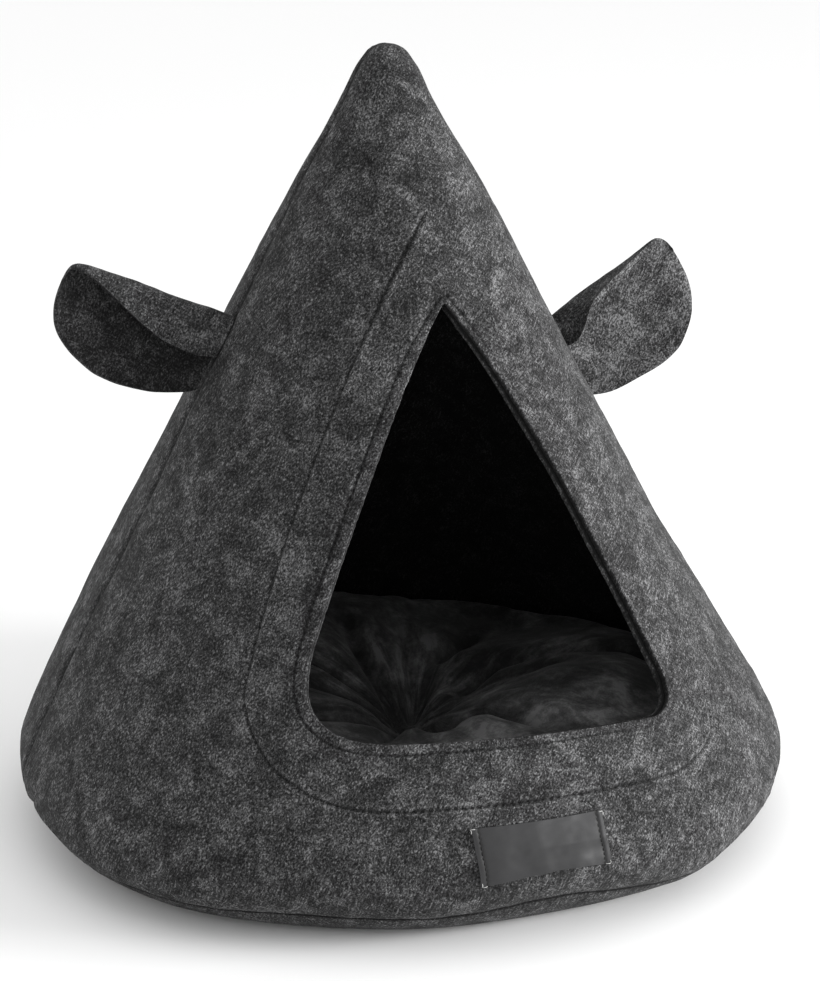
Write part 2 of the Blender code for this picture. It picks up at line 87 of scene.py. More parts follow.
# ---- Doorway and facing on the flat front panel: sideways, run ----
DOOR = {
    "top": (0.0064, 0.1572), "foot_dip": 0.0072,
    "right_side": (0.1001, 0.3132), "right_foot": (0.1112, 0.3946), "right_ease": 0.0255,
    "left_side": (0.0036, 0.1509), "left_foot": (-0.1179, 0.3878), "left_ease": 0.0635,
}
STITCH = {
    "top": (0.0031, 0.1055), "foot_dip": 0.0101,
    "right_side": (0.1961, 0.3865), "right_foot": (0.1161, 0.4253), "right_ease": 0.0282,
    "left_side": (-0.1805, 0.3979), "left_foot": (-0.1332, 0.4218), "left_ease": 0.0732,
}
FACING_MARGIN = 0.005
FACING_LIFT = 0.0009
FACING_LIFT_FADE = 0.0012
FACING_REVEAL = 0.0011
FACING_SPLAY = 0.0006
PANEL_GAP = 0.0002
FRONT_SHIFT = np.array([0.0, -PANEL_GAP / 2, 0.0])
POINT_REACH = 0.045

# ---- Cut edges, seams and stitching ----
EDGE_ROLL = 0.0006
SEAM_ROLL = 0.0011
SEAM_SINK = 0.0013
SEAM_SINK_REACH = 0.0034
FRONT_SINK = 0.4 * SEAM_SINK
EDGE_WANDER = 0.00035
# painted shade on the doorway's cut faces
CUT_SHADE = 0.15
BETWEEN_FROM_DOOR = 0.0122  # the plain felt between both sewing lines starts and ends here
BETWEEN_FROM_STITCH = -0.0062
BEYOND_STITCH = 0.007
BORDER_ROWS = (0.008, 0.005, 0.0034, 0.0022)
BACK_SEAM_ROWS = (0.0024, 0.004, 0.006, 0.009)
STITCH_PITCH = 0.0043
THREAD_RADIUS = 0.00028
STITCH_STATIONS = np.array([0.1, 0.26, 0.5, 0.74, 0.9])
STITCH_DIP = 0.0024
PUCKER = 0.45
THREAD_SHOWS_FROM = 0.3
TOPSTITCH_TOP_INSET = 0.0034
TOPSTITCH_LEFT_INSET = 0.0065
TOPSTITCH_RIGHT_INSET = 0.0038
TOPSTITCH_EASE_RUN = 0.04
TOPSTITCH_DEPTH = 0.0008
TOPSTITCH_HALF_WIDTH = 0.001
# painted shade along the doorway's sewing line, its strength and half width
TOPSTITCH_SHADE = 0.8
TOPSTITCH_SHADE_HALF_WIDTH = 0.0006
TOPSTITCH_OFFSETS = (-0.0022, -0.0016, -0.001, -0.0005, 0.0, 0.0005, 0.001, 0.0016, 0.0024, 0.0036)
FACING_SEAM_DEPTH = 0.0011
FACING_SEAM_HALF_WIDTH = 0.0011
# painted shade along the facing's sewing line
FACING_SEAM_SHADE = 0.45
FACING_SEAM_SHADE_HALF_WIDTH = 0.0007
FACING_SEAM_OFFSETS = (-0.0042, -0.003, *TOPSTITCH_OFFSETS[:-1], 0.0034, 0.005)
FACING_SEAM_RIGHT = (
    # run on the right-hand side, strength of the sewn-in groove and of its painted shade
    (0.1, 0.45), (0.13, 0.25), (0.18, 0.1), (0.37, 0.1), (0.405, 0.28), (0.425, 0.8),
)
FACING_SEAM_LEFT = 0.85
SEAM_LIP_PLACE = 0.0019
SEAM_LIP_HALF_WIDTH = 0.0008
SEAM_LIP_HEIGHT = 0.0004
# painted highlight on the raised lip beside the facing's sewing line
SEAM_LIP_PAINTED_HIGHLIGHT = 0.22

# ---- Ears ----
# share of the length, drop of the fold, felt of the lobe behind, felt of the flap in front,
# felt of half the fold, turn of the flap from level in degrees, curl of the lobe in degrees
LEFT_EAR_SECTIONS = (
    (0.0, 0.0, 0.048, 0.0255, 0.0048, 90.0, 0.0),
    (0.05, 0.0, 0.051, 0.0265, 0.0056, 89.0, 4.0),
    (0.15, 0.0, 0.0545, 0.0285, 0.0072, 86.0, 11.0),
    (0.34, 0.0, 0.06, 0.028, 0.01, 82.0, 21.0),
    (0.5, 0.0, 0.062, 0.024, 0.0115, 78.0, 26.0),
    (0.62, 0.0, 0.061, 0.019, 0.0115, 78.0, 26.0),
    (0.76, 0.0, 0.056, 0.0125, 0.0112, 79.0, 25.0),
    (0.88, 0.0, 0.048, 0.0068, 0.01, 82.0, 22.0),
    (0.94, 0.0006, 0.04, 0.0034, 0.0076, 84.0, 18.0),
    (0.975, 0.0025, 0.03, 0.0018, 0.0052, 84.0, 13.0),
    (0.992, 0.0058, 0.02, 0.001, 0.0034, 86.0, 9.0),
    (1.0, 0.011, 0.008, 0.0008, 0.0024, 88.0, 5.0),
)
RIGHT_EAR_SECTIONS = (
    (0.0, 0.0, 0.057, 0.02, 0.0048, 90.0, 0.0),
    (0.06, 0.0, 0.061, 0.0205, 0.0066, 74.0, 5.0),
    (0.14, 0.0, 0.0655, 0.0198, 0.0095, 42.0, 12.0),
    (0.27, 0.0, 0.069, 0.0172, 0.0125, 9.0, 20.0),
    (0.5, 0.0, 0.071, 0.012, 0.013, -8.0, 26.0),
    (0.63, 0.0, 0.0685, 0.008, 0.0112, -12.0, 26.0),
    (0.74, 0.0, 0.062, 0.0044, 0.0084, -12.0, 25.0),
    (0.86, 0.0, 0.052, 0.0018, 0.005, 5.0, 22.0),
    (0.93, 0.0006, 0.0425, 0.001, 0.0034, 25.0, 18.0),
    (0.965, 0.0024, 0.0345, 0.0008, 0.0028, 45.0, 13.0),
    (0.988, 0.0058, 0.0235, 0.0008, 0.0024, 65.0, 8.0),
    (1.0, 0.0115, 0.008, 0.0008, 0.0022, 80.0, 4.0),
)
EARS = (
    # CAD name, side, height of its top at the wall, tilt in degrees, length, painted shade on the inner face (painted
    # light where below 0), sections
    ("ear_left", -1, 0.3015, 23.9, 0.1005, 0.65, LEFT_EAR_SECTIONS),
    ("ear_right", 1, 0.2848, 33.2, 0.0835, -0.36, RIGHT_EAR_SECTIONS),
)
EAR_CURL_REACH = 0.05
EAR_SQUARE_SHARE = 0.3
EAR_SOFT_SHARE = 0.15
EAR_ROOT_REACH = 0.05
EAR_ROOT_GAP = 0.0009
EAR_FINE_STEPS = 60
EAR_END_CROWDING = 0.9
EAR_EDGE_ROLL = 0.0008

# ---- Label ----
LABEL_WIDTH = 0.0755
LABEL_HEIGHT = 0.033
LABEL_AZIMUTH = radians(2.1)
LABEL_TOP_RUN = 0.445
LABEL_GAP = 0.0005
LABEL_THICKNESS = 0.0008
LABEL_UNDERSIDE = 0.0002
LABEL_EDGE_ROLL = 0.0002
LABEL_END_FOLD = 0.0036
LABEL_FOLD_RISE = 0.0003
LABEL_ENDS = np.array([0, 0.25, 0.6, 1.2, 2, 2.7, 3.1, 3.4, 3.6, 3.9, 4.2, 4.8, 6]) / 1000
LABEL_FOLD_FADE = 0.0012
LABEL_SEAM_DEPTH = 0.0003
LABEL_SEAM_HALF_WIDTH = 0.0008
LABEL_WAVE = 0.0003
LABEL_PITCH = 0.003
LABEL_STITCH = ((0.08, 0.0009), (0.25, 0.0001), (0.5, 0.0), (0.75, 0.0001), (0.92, 0.0009))  # place, dip
LABEL_TACKS = (
    # side, how far beyond the end, top or foot of the label, how much lower
    (-1, 0.0004, 0, 0.0006), (1, 0.0004, 0, 0.001), (-1, -0.0008, 1, 0.0), (1, -0.0006, 1, -0.0006),
)
TACK_RADIUS = 0.0002
TACK_COLOUR = (0.42, 0.42, 0.41)

# ---- Cushion ----
CUSHION_RADIUS = 0.203
CUSHION_UNDERSIDE = 0.0036
CUSHION_SECTION = (
    # share of the radius, height of the top face, height of the underside
    (0.0, 0.04, 0.0036), (0.08, 0.043, 0.0036), (0.2, 0.053, 0.0036), (0.38, 0.064, 0.0036), (0.58, 0.068, 0.0036),
    (0.76, 0.065, 0.0036), (0.89, 0.056, 0.0078), (0.97, 0.044, 0.017), (1.0, 0.032, 0.031),
)
CUSHION_TUFT = (0.012, 0.015)
CUSHION_FOLDS = (
    # half width, depth, places along the fold
    (0.0045, 0.006, (CUSHION_TUFT, (0.0267, 0.0076), (0.0504, -0.0016), (0.0861, -0.0263))),
    (0.0024, 0.0022, ((0.023, 0.006), (0.043, -0.008), (0.068, -0.029), (0.085, -0.048))),
    (0.0024, 0.0022, ((0.026, 0.01), (0.052, 0.007), (0.08, -0.006), (0.112, -0.026))),
    (0.0022, 0.0018, ((0.022, 0.002), (0.035, -0.018), (0.052, -0.043))),
    (0.0065, 0.012, (CUSHION_TUFT, (0.0129, -0.0087), (0.0157, -0.0281), (0.0168, -0.06))),
    (0.005, 0.008, (CUSHION_TUFT, (0.0253, 0.0296), (0.034, 0.048), (0.042, 0.076))),
    (0.011, 0.016, ((0.039, 0.006), (0.052, 0.027), (0.068, 0.033), (0.09, 0.029), (0.118, 0.016),
                    (0.15, 0.0), (0.166, -0.035), (0.168, -0.08))),
    (0.0075, 0.012, (CUSHION_TUFT, (0.0036, 0.0421), (-0.0001, 0.075), (0.0013, 0.1002), (0.0085, 0.1378))),
    (0.006, 0.009, (CUSHION_TUFT, (-0.0078, 0.015), (-0.0284, 0.0198), (-0.062, 0.028))),
    (0.0055, 0.008, (CUSHION_TUFT, (-0.0034, -0.0065), (-0.0211, -0.0355), (-0.04, -0.07))),
    (0.006, 0.007, ((0.018, 0.025), (0.027, 0.062), (0.033, 0.1), (0.043, 0.135))),
    (0.008, 0.008, (CUSHION_TUFT, (-0.02, -0.008), (-0.06, -0.025), (-0.11, -0.03))),
    (0.008, 0.008, (CUSHION_TUFT, (-0.025, 0.045), (-0.065, 0.085), (-0.095, 0.11))),
    (0.008, 0.009, ((0.016, -0.01), (0.04, -0.05), (0.055, -0.09), (0.06, -0.13))),
    (0.009, 0.008, ((0.04, 0.056), (0.07, 0.085), (0.095, 0.115))),
)
CUSHION_BULGES = (
    # place, half width, height above or depth below the even crown
    (-0.005, -0.048, 0.048, -0.013), (0.1, 0.11, 0.07, -0.025), (-0.045, -0.105, 0.06, -0.013),
    (0.096, -0.048, 0.042, 0.011), (0.0385, 0.0194, 0.012, 0.006), (-0.0395, 0.03, 0.025, 0.005),
    (0.024, -0.062, 0.02, 0.005), (-0.004, 0.033, 0.011, 0.005), (0.015, 0.095, 0.007, 0.003),
    (-0.08, -0.07, 0.035, 0.005),
)
FOLD_START_FADE = 0.1
FOLD_END_FADE = 0.45
RELIEF_FROM_SHARE = 0.08
RELIEF_TO_SHARE = 0.82
RELIEF_FADE = 0.15
CUSHION_VOXEL = 0.0046
CUSHION_CLOTH = {
    "quality": 5, "mass": 0.3, "use_pressure": True, "uniform_pressure_force": 4.0, "tension_stiffness": 15.0,
    "compression_stiffness": 15.0, "shear_stiffness": 5.0, "bending_stiffness": 0.2, "shrink_min": -0.06,
    "vertex_group_mass": "held",
}
CUSHION_FRAMES = 20
CUSHION_MOST_MOVE = 0.008
CUSHION_SEAM_HEIGHT = 0.0315
HELD_AT_TUFT = 0.007
HELD_AT_SEAM = 0.004
TOP_HEIGHT, TOP_HEIGHT_FADE = 0.024, 0.008
TOP_RADIUS, TOP_RADIUS_FADE = 0.165, 0.03
GATHER_FOLDS = 8.5
GATHER_STRAY = 2.2
GATHER_DEPTH = 0.0034
GATHER_RADIUS = 0.012
GATHER_REACH = 0.018
CREASE_DEPTH_SHARE = 0.35
CREASE_WIDTH_SHARE = 0.6
RIPPLE_DEPTH = 0.0012
TUFT_DENT = 0.006
TUFT_DENT_REACH = 0.008
PIPING_INSET = 0.0004
PIPING_HALF_WIDTH = 0.0014
PIPING_HALF_HEIGHT = 0.0011
PIPING_WAVE = 0.0008
PILE_STREAKS = 7.0
PILE_LENGTHS = 32.0

# ---- How finely the faces are cut ----
SIDE_STEPS = 220
FOOT_STEPS = 240
OUTLINE_STEPS = 160
CORNER_STEPS = 40
BASE_STEPS = 480
CUSHION_STEPS = 180
PIPING_STEPS = 240
PIPING_SIDES = 8

# ---- Camera and light ----
CAMERA_AT = (-0.5375, -1.62533, 0.74483)
CAMERA_TARGET = (0.00569, -0.0019, 0.1886)
CAMERA_LENS_MM = 134.78
SENSOR_MM = 36.0
KEY_AT = (1.915, -1.06, 0.46)
KEY_TARGET = (0.0, 0.0, 0.2)
KEY_SIZE = 0.8
KEY_WATTS = 74.0
FLOOR_HALF = 6.0
FLOOR_HEIGHT = -0.0005
FLOOR_COLOUR = (0.94, 0.94, 0.94, 1.0)

# ---- Settings ----
COLOUR_LIMITS = {"size": 3, "min": 0.0, "max": 1.0, "subtype": "COLOR"}


class CaveSettings(bpy.types.PropertyGroup):
    """Sizes and colours of the cat cave that a user would change."""

    felt_thickness: bpy.props.FloatProperty(
        name="Felt Thickness", description="Thickness of the felt that the wall, base and ears are cut from",
        default=0.003, min=0.001, max=0.006, unit="LENGTH", subtype="DISTANCE",
    )
    felt_colour: bpy.props.FloatVectorProperty(
        name="Felt Colour", description="Middle colour of the mottled felt",
        default=(0.0345, 0.0345, 0.035), **COLOUR_LIMITS,
    )
    plush_colour: bpy.props.FloatVectorProperty(
        name="Plush Colour", description="Colour of the cushion's short pile",
        default=(0.072, 0.072, 0.0725), **COLOUR_LIMITS,
    )
    label_colour: bpy.props.FloatVectorProperty(
        name="Label Colour", description="Colour of the woven label",
        default=(0.0185, 0.0185, 0.0195), **COLOUR_LIMITS,
    )
    thread_colour: bpy.props.FloatVectorProperty(
        name="Thread Colour", description="Colour of the sewing thread",
        default=(0.012, 0.012, 0.012), **COLOUR_LIMITS,
    )


def settings():
    """The user's sizes and colours."""
    return bpy.context.scene.cat_cave


# ---- Curves ----
def hermite(start, end, start_slope, end_slope, t):
    """Cubic from start to end, whose slopes are counted over the whole span."""
    return (start * (1 + 2 * t) * (1 - t) ** 2 + start_slope * t * (1 - t) ** 2
            + end * t * t * (3 - 2 * t) + end_slope * t * t * (t - 1))


def through(points, first_tangent, last_tangent, steps=40):
    """Points of a smooth curve through the given ones."""
    points = [np.array(point, dtype=float) for point in points]
    spans = [np.linalg.norm(b - a) for a, b in zip(points, points[1:])]
    slopes = [(b - a) / span for a, b, span in zip(points, points[1:], spans)]
    tangents = [np.array(first_tangent)]
    for k in range(1, len(spans)):
        tangents.append((slopes[k - 1] * spans[k] + slopes[k] * spans[k - 1]) / (spans[k - 1] + spans[k]))
    tangents.append(np.array(last_tangent))
    curve = [points[0]]
    for k, span in enumerate(spans):
        for step in range(1, steps + 1):
            curve.append(hermite(*points[k:k + 2], tangents[k] * span, tangents[k + 1] * span, step / steps))
    return np.array(curve)


def lengths(points):
    """Length along a line of points, at each point."""
    steps = np.linalg.norm(np.diff(points, axis=0), axis=1)
    return np.concatenate([[0.0], np.cumsum(steps)])


def at_runs(wanted, run, points):
    """Places on a line of points at the wanted lengths along it."""
    return np.column_stack([np.interp(wanted, run, column) for column in points.T])


def spaced(points, shares):
    """The points of a line at the given shares of its length."""
    run = lengths(points)
    return at_runs(np.array(shares) * run[-1], run, points)


def closed(points):
    """A closed line with its first point added at the end."""
    return np.vstack([points, points[:1]])


def unit(vectors):
    """Vectors brought to length 1."""
    return vectors / np.linalg.norm(vectors, axis=-1, keepdims=True)


def directions(line):
    """Unit direction of an open line at each of its points."""
    return unit(np.gradient(line, axis=0))


def table_value(rows, share, column):
    """A smooth value from a table whose first column is the share."""
    shares, values = ([row[index] for row in rows] for index in (0, column))
    k = min(max(int(np.searchsorted(shares, share)) - 1, 0), len(rows) - 2)
    slopes = [(values[i + 1] - values[i]) / (shares[i + 1] - shares[i]) for i in range(len(rows) - 1)]

    def slope_at(i):
        before, after = slopes[max(i - 1, 0)], slopes[min(i, len(slopes) - 1)]
        return 2 * before * after / (before + after) if before * after > 0 else 0.0

    width = shares[k + 1] - shares[k]
    t = (share - shares[k]) / width
    return hermite(values[k], values[k + 1], slope_at(k) * width, slope_at(k + 1) * width, t)


def ease(t):
    """Smooth step from 0 to 1."""
    t = np.clip(t, 0.0, 1.0)
    return t * t * (3 - 2 * t)


def hump(distance, half_width):
    """Smooth hump of height 1, as wide as given on each side."""
    return np.exp(-((distance / half_width) ** 2))


def even(steps):
    """Evenly spaced shares from 0 to 1."""
    return np.linspace(0.0, 1.0, steps + 1)


def end_heavy(steps, crowding=0.6):
    """Shares from 0 to 1, closer together near both ends."""
    shares = even(steps)
    return shares - crowding * np.sin(2 * pi * shares) / (2 * pi)


def full_turn(steps):
    """Angles in equal steps all the way round."""
    return 2 * pi * np.arange(steps) / steps


def nearest_turn(angle):
    """An angle brought to between minus and plus half a turn."""
    return (angle + pi) % (2 * pi) - pi


def waver(points, scale, layer):
    """Smooth random numbers about 0 at flat places, with so many waves per metre."""
    return np.array([noise.noise(Vector((x * scale, y * scale, layer))) for x, y in points])


def rounded_edge(radius):
    """Distances from a cut edge and depths below the face, round the edge's soft corner."""
    return [(radius * (1 - cos(turn)), radius * (1 - sin(turn))) for turn in np.radians((0, 30, 60, 90))]


# ---- Shape of the wall ----
SIDE_CURVE = through([(radius, height) for height, radius in SIDE_SECTION], (1.0, 0.0), (-1.0, 0.0))[::-1]
SIDE_RUNS = lengths(SIDE_CURVE)


def run_at(height):
    """The run at which the outer face has a height."""
    return float(np.interp(-height, -SIDE_CURVE[:, 1], SIDE_RUNS))


FLOOR_RUN = SIDE_RUNS[-1]
FOOT_RUN = run_at(FOOT_SEAM_HEIGHT)
BASE_CENTRE_RUN = FLOOR_RUN + SIDE_SECTION[0][1]


def side_section(run):
    """Radius and height of the outer face at a run, which goes on under the base to its middle."""
    under = run >= FLOOR_RUN
    radius = np.where(under, BASE_CENTRE_RUN - run, np.interp(run, SIDE_RUNS, SIDE_CURVE[:, 0]))
    return radius, np.where(under, 0.0, np.interp(run, SIDE_RUNS, SIDE_CURVE[:, 1]))


def side_normal(run):
    """Outward direction in the section at a run."""
    below = np.array(side_section(run + NORMAL_REACH))
    along = below - np.array(side_section(np.maximum(run - NORMAL_REACH, 0.0)))
    along = along / np.maximum(np.linalg.norm(along, axis=0), 1e-12)
    return -along[1], along[0]


def foot_spread(azimuth):
    """How far the foot of the wall stands out of round, from a table that goes round in equal steps."""
    table = np.array(FOOT_SPREAD)
    place = (azimuth / (2 * pi) * len(table)) % len(table)
    k = place.astype(int)
    t = place - k
    a, b, c, d = (table[(k + i) % len(table)] for i in (-1, 0, 1, 2))
    first, second = (c - a) / 2, a - 2.5 * b + 2 * c - d / 2
    third = 1.5 * (b - c) + (d - a) / 2
    return b + t * first + t * t * second + t ** 3 * third


def foot_rise(azimuth):
    """How far the foot seam wanders up or down."""
    return sum(height * hump(nearest_turn(azimuth - radians(centre)), radians(half_width))
               for centre, half_width, height in FOOT_RIPPLES)


def softness(points, waves):
    """Slight unevenness of hand-sewn felt, as a height at each point."""
    heights = np.zeros(len(points))
    vectors = [Vector(point) for point in points]
    for scale, height in waves:
        heights += [height * noise.noise(vector * scale) for vector in vectors]
    return heights


def seam_wander(azimuth, run, radius):
    """How far a hand-sewn side seam strays forwards or back, as an angle, near both seams."""
    turn = np.zeros(radius.shape)
    for side, phase in SEAM_SIDES:
        away = nearest_turn(azimuth - side)
        stray = sum(size * np.sin(2 * pi * run / pitch + phase * (1 + pitch)) for pitch, size in SEAM_WAVES)
        near = hump(away * radius, SEAM_WANDER_REACH) * (np.abs(away) < SEAM_WANDER_WIDEST)
        turn += np.sign(side) * stray * near
    return turn / np.maximum(radius, SEAM_WANDER_LEAST_RADIUS) * ease(radius / SEAM_WANDER_LEAST_RADIUS)


def wall_points(azimuth, run, depth=0.0):
    """Points at a depth below the outer face of the wall or the base."""
    azimuth, run = np.broadcast_arrays(np.asarray(azimuth, float), np.asarray(run, float))
    radius, height = side_section(run)
    off_floor = ease(height / SOFT_FROM_HEIGHT)
    azimuth = azimuth + seam_wander(azimuth, run, radius) * off_floor
    out_radius, out_height = side_normal(run)
    spread = foot_spread(azimuth) * (1 - ease(height / SPREAD_FADE_HEIGHT)) * radius / WIDEST
    ripple = np.sin(pi * np.minimum(height / RIPPLE_TOP, 1.0))
    lean = ease(height / LEAN_FULL_HEIGHT)
    across, forwards = np.sin(azimuth), -np.cos(azimuth)
    face = np.stack([
        (radius + spread) * across + UPPER_LEAN[0] * lean,
        (radius + spread) * forwards + UPPER_LEAN[1] * lean,
        height + foot_rise(azimuth) * ripple,
    ], axis=-1)
    outwards = np.stack([out_radius * across, out_radius * forwards, out_height], axis=-1)
    soft = softness(face.reshape(-1, 3), WALL_WAVES).reshape(height.shape) * off_floor
    return face + outwards * (soft - depth)[..., None]


def panel_points(flat, depth):
    """Points of the front panel from their places on the flat felt."""
    azimuth = np.arctan2(flat[:, 0], flat[:, 1]) * FLAT_TO_ROUND
    return wall_points(azimuth, np.hypot(flat[:, 0], flat[:, 1]), depth) + FRONT_SHIFT


# ---- Outlines on the flat felt ----
def bow(start, control, end, steps=OUTLINE_STEPS):
    """A gently bowed line, as a quadratic curve."""
    start, control, end = (np.array(point) for point in (start, control, end))
    t = even(steps)[:, None]
    return start * (1 - t) ** 2 + control * 2 * t * (1 - t) + end * t * t


def cut_back(line, distance):
    """A line without the given length at its end."""
    return spaced(line, even(len(line) - 1) * (1 - distance / lengths(line)[-1]))


def around(right, foot, left):
    """A closed outline from its right side, its foot and its left side, each with the point where it ends."""
    return np.vstack([right[:-1], foot[:-1], left[::-1][:-1]])


def outline(shape):
    """Closed outline of a pointed opening with eased foot corners, from its top round by the right."""
    foot = unit(np.array(shape["left_foot"]) - np.array(shape["right_foot"]))
    half = CORNER_STEPS // 2
    sides, corners = [], []
    for name, inward in (("right", foot), ("left", -foot)):
        end, eased = np.array(shape[name + "_foot"]), shape[name + "_ease"]
        line = cut_back(bow(shape["top"], shape[name + "_side"], end), eased)
        corner = bow(line[-1], end, end + inward * eased, CORNER_STEPS)
        sides.append(spaced(np.vstack([line, corner[1:half + 1]]), even(SIDE_STEPS)))
        corners.append(corner[half:])
    foot_run = spaced(np.vstack([corners[0], corners[1][::-1]]), even(FOOT_STEPS))
    foot_run[:, 1] += shape["foot_dip"] * np.sin(pi * even(FOOT_STEPS))
    return around(sides[0], foot_run, sides[1])


def panel_border():
    """Border of the flat front panel, with a point for each point of an outline."""
    right = np.array([FOOT_RUN * sin(HALF_ANGLE), FOOT_RUN * cos(HALF_ANGLE)]) * end_heavy(SIDE_STEPS)[:, None]
    turns = HALF_ANGLE * (1 - 2 * even(FOOT_STEPS))
    foot = np.column_stack([FOOT_RUN * np.sin(turns), FOOT_RUN * np.cos(turns)])
    return around(right, foot, right * (-1, 1))


def outward(along):
    """Directions square to an outline that goes down by the right."""
    return np.column_stack([along[:, 1], -along[:, 0]])


def widened(points, distance):
    """A closed outline moved outwards by a distance, its two sides still meeting in a point at the top."""
    distance = np.broadcast_to(distance, len(points))[:, None]
    moved = points + outward(unit(np.roll(points, -1, axis=0) - np.roll(points, 1, axis=0))) * distance
    right, left = np.arange(SIDE_STEPS + 1), -np.arange(SIDE_STEPS + 1)
    first, second = (directions(points[side])[0] for side in (right, left))
    skipped = distance[0, 0] * np.linalg.norm(first + second) / np.linalg.norm(first - second)
    tops = []
    for places, turn in ((right, 1.0), (left, -1.0)):
        side = points[places]
        run, ahead = lengths(side), directions(side)
        wanted = run - skipped * np.maximum(1 - run / POINT_REACH, 0.0)
        start = at_runs(wanted, run, side) + np.minimum(wanted, 0.0)[:, None] * ahead[0]
        square = at_runs(wanted, run, turn * outward(ahead))
        reach = run < POINT_REACH
        moved[places[reach]] = (start + square * distance[places])[reach]
        tops.append(moved[0].copy())
    moved[0] = (tops[0] + tops[1]) / 2
    return moved


def ragged(points):
    """A cut outline with the slight waver of scissors in thick felt."""
    share = waver(points, 260.0, 3.0)[:, None]
    return widened(points, EDGE_WANDER) * share + points * (1 - share)


def stitch_phase(points):
    """Place within a stitch at each point of a closed sewing line, as an angle, and the number of stitches."""
    run = lengths(closed(points))
    count = round(run[-1] / STITCH_PITCH)
    return 2 * pi * count * run[:-1] / run[-1], count


def pucker(points, strength):
    """How deeply a sewing line is drawn in at each point, more at each needle hole."""
    return (1 + PUCKER * np.cos(stitch_phase(points)[0])) * strength


def leftness(count):
    """0 on the right-hand side of an outline, 1 on its left-hand side, growing along its foot."""
    return np.interp(np.arange(count), (SIDE_STEPS, SIDE_STEPS + FOOT_STEPS), (0.0, 1.0))


def from_top(points):
    """0 at the top of the outline, growing to 1 some way down both sides."""
    run = np.hypot(points[:, 0], points[:, 1])
    return ease((run - run[0]) / TOPSTITCH_EASE_RUN)


def topstitch_inset(points):
    """Distance of the doorway's sewing line from the cut edge."""
    far = TOPSTITCH_RIGHT_INSET + (TOPSTITCH_LEFT_INSET - TOPSTITCH_RIGHT_INSET) * leftness(len(points))
    return TOPSTITCH_TOP_INSET + (far - TOPSTITCH_TOP_INSET) * from_top(points)


def topstitch_strength(points):
    """How firmly the doorway's sewing line is drawn in and how much painted shade it gets: unevenly on the left,
    hardly at all on the right.
    """
    left = np.clip(0.9 + 0.9 * waver(points, 70.0, 9.0), 0.15, 1.3)
    right = 0.85 - 0.65 * from_top(points)
    return right + (left - right) * leftness(len(points))


def facing_strength(points):
    """How firmly the facing's sewing line is drawn in and how much painted shade it gets, fainter up the right-hand
    side.
    """
    right = np.interp(np.hypot(points[:, 0], points[:, 1]), *zip(*FACING_SEAM_RIGHT))
    return np.where(points[:, 0] > 0, right, FACING_SEAM_LEFT)


# ---- Meshes ----
def put(thing, **values):
    """Sets several properties of a thing, and gives the thing back."""
    for key, value in values.items():
        setattr(thing, key, value)
    return thing


def mark(mesh, name, values, kind="FLOAT", field="value"):
    """Writes a value for each point of a mesh, for its material to read."""
    layer = mesh.attributes.new(name, kind, "POINT")
    layer.data.foreach_set(field, np.asarray(values, dtype=np.float32).reshape(-1))


def place_object(name, data):
    """A new object in the scene, at the origin."""
    thing = bpy.data.objects.new(name, data)
    bpy.context.collection.objects.link(thing)
    return thing


def make_piece(name, points, faces, material, smooth_angle=50.0, marks=None):
    """A closed piece from points and faces, its faces turned outwards."""
    mesh = bpy.data.meshes.new(name)
    mesh.from_pydata(np.asarray(points).tolist(), [], faces)
    for key, values in (marks or {}).items():
        mark(mesh, key, values)
    shape = bmesh.new()
    shape.from_mesh(mesh)
    bmesh.ops.remove_doubles(shape, verts=shape.verts, dist=1e-6)
    bmesh.ops.dissolve_degenerate(shape, edges=shape.edges, dist=1e-7)
    bmesh.ops.recalc_face_normals(shape, faces=shape.faces)
    shape.to_mesh(mesh)
    shape.free()
    mesh.shade_smooth()
    mesh.set_sharp_from_angle(angle=radians(smooth_angle))
    mesh.materials.append(material)
    return place_object(name, mesh)


def thick_sheet(name, outer, inner, faces, material, **marks):
    """A sheet with its outer and inner points, closed along every free edge."""
    count = len(outer)
    used = {(a, b) for face in faces for a, b in zip(face, face[1:] + face[:1])}
    free = sorted((a, b) for a, b in used if (b, a) not in used)
    solid = faces + [[index + count for index in reversed(face)] for face in faces]
    solid += [(b, a, a + count, b + count) for a, b in free]
    # every inner face gets painted shade
    both = {"inside": np.repeat([0.0, 1.0], count)}
    for key, values in marks.items():
        both[key] = values if len(values) == 2 * count else np.append(values, np.zeros(count))
    return make_piece(name, np.vstack([outer, inner]), solid, material, marks=both)


def point_numbers(rows, columns):
    """The numbers of points that lie in rows, as a grid."""
    return np.arange(rows * columns).reshape(rows, columns)


def patch(numbers, rings=False):
    """Faces between neighbouring rows of a grid of point numbers, whose rows may close up to rings."""
    if rings:
        numbers = np.hstack([numbers, numbers[:, :1]])
    a, b = numbers[:-1], numbers[1:]
    return np.stack([a[:, :-1], b[:, :-1], b[:, 1:], a[:, 1:]], axis=-1).reshape(-1, 4).tolist()


def thread_pieces(name, centres, ups, radius, material, sides=6):
    """Short pieces of thread, each along its own row of centres, their ends closed."""
    along = unit(np.gradient(centres, axis=1))
    across = unit(np.cross(along, ups))
    upright = np.cross(across, along)
    turns = full_turn(sides)[None, None, :, None]
    rings = (centres[:, :, None, :] + radius * np.cos(turns) * across[:, :, None, :]
             + radius * np.sin(turns) * upright[:, :, None, :])
    faces = []
    for numbers in np.arange(rings.size // 3).reshape(rings.shape[:3]):
        faces += patch(numbers, rings=True) + [numbers[0].tolist(), numbers[-1][::-1].tolist()]
    return make_piece(name, rings.reshape(-1, 3), faces, material, smooth_angle=70.0)


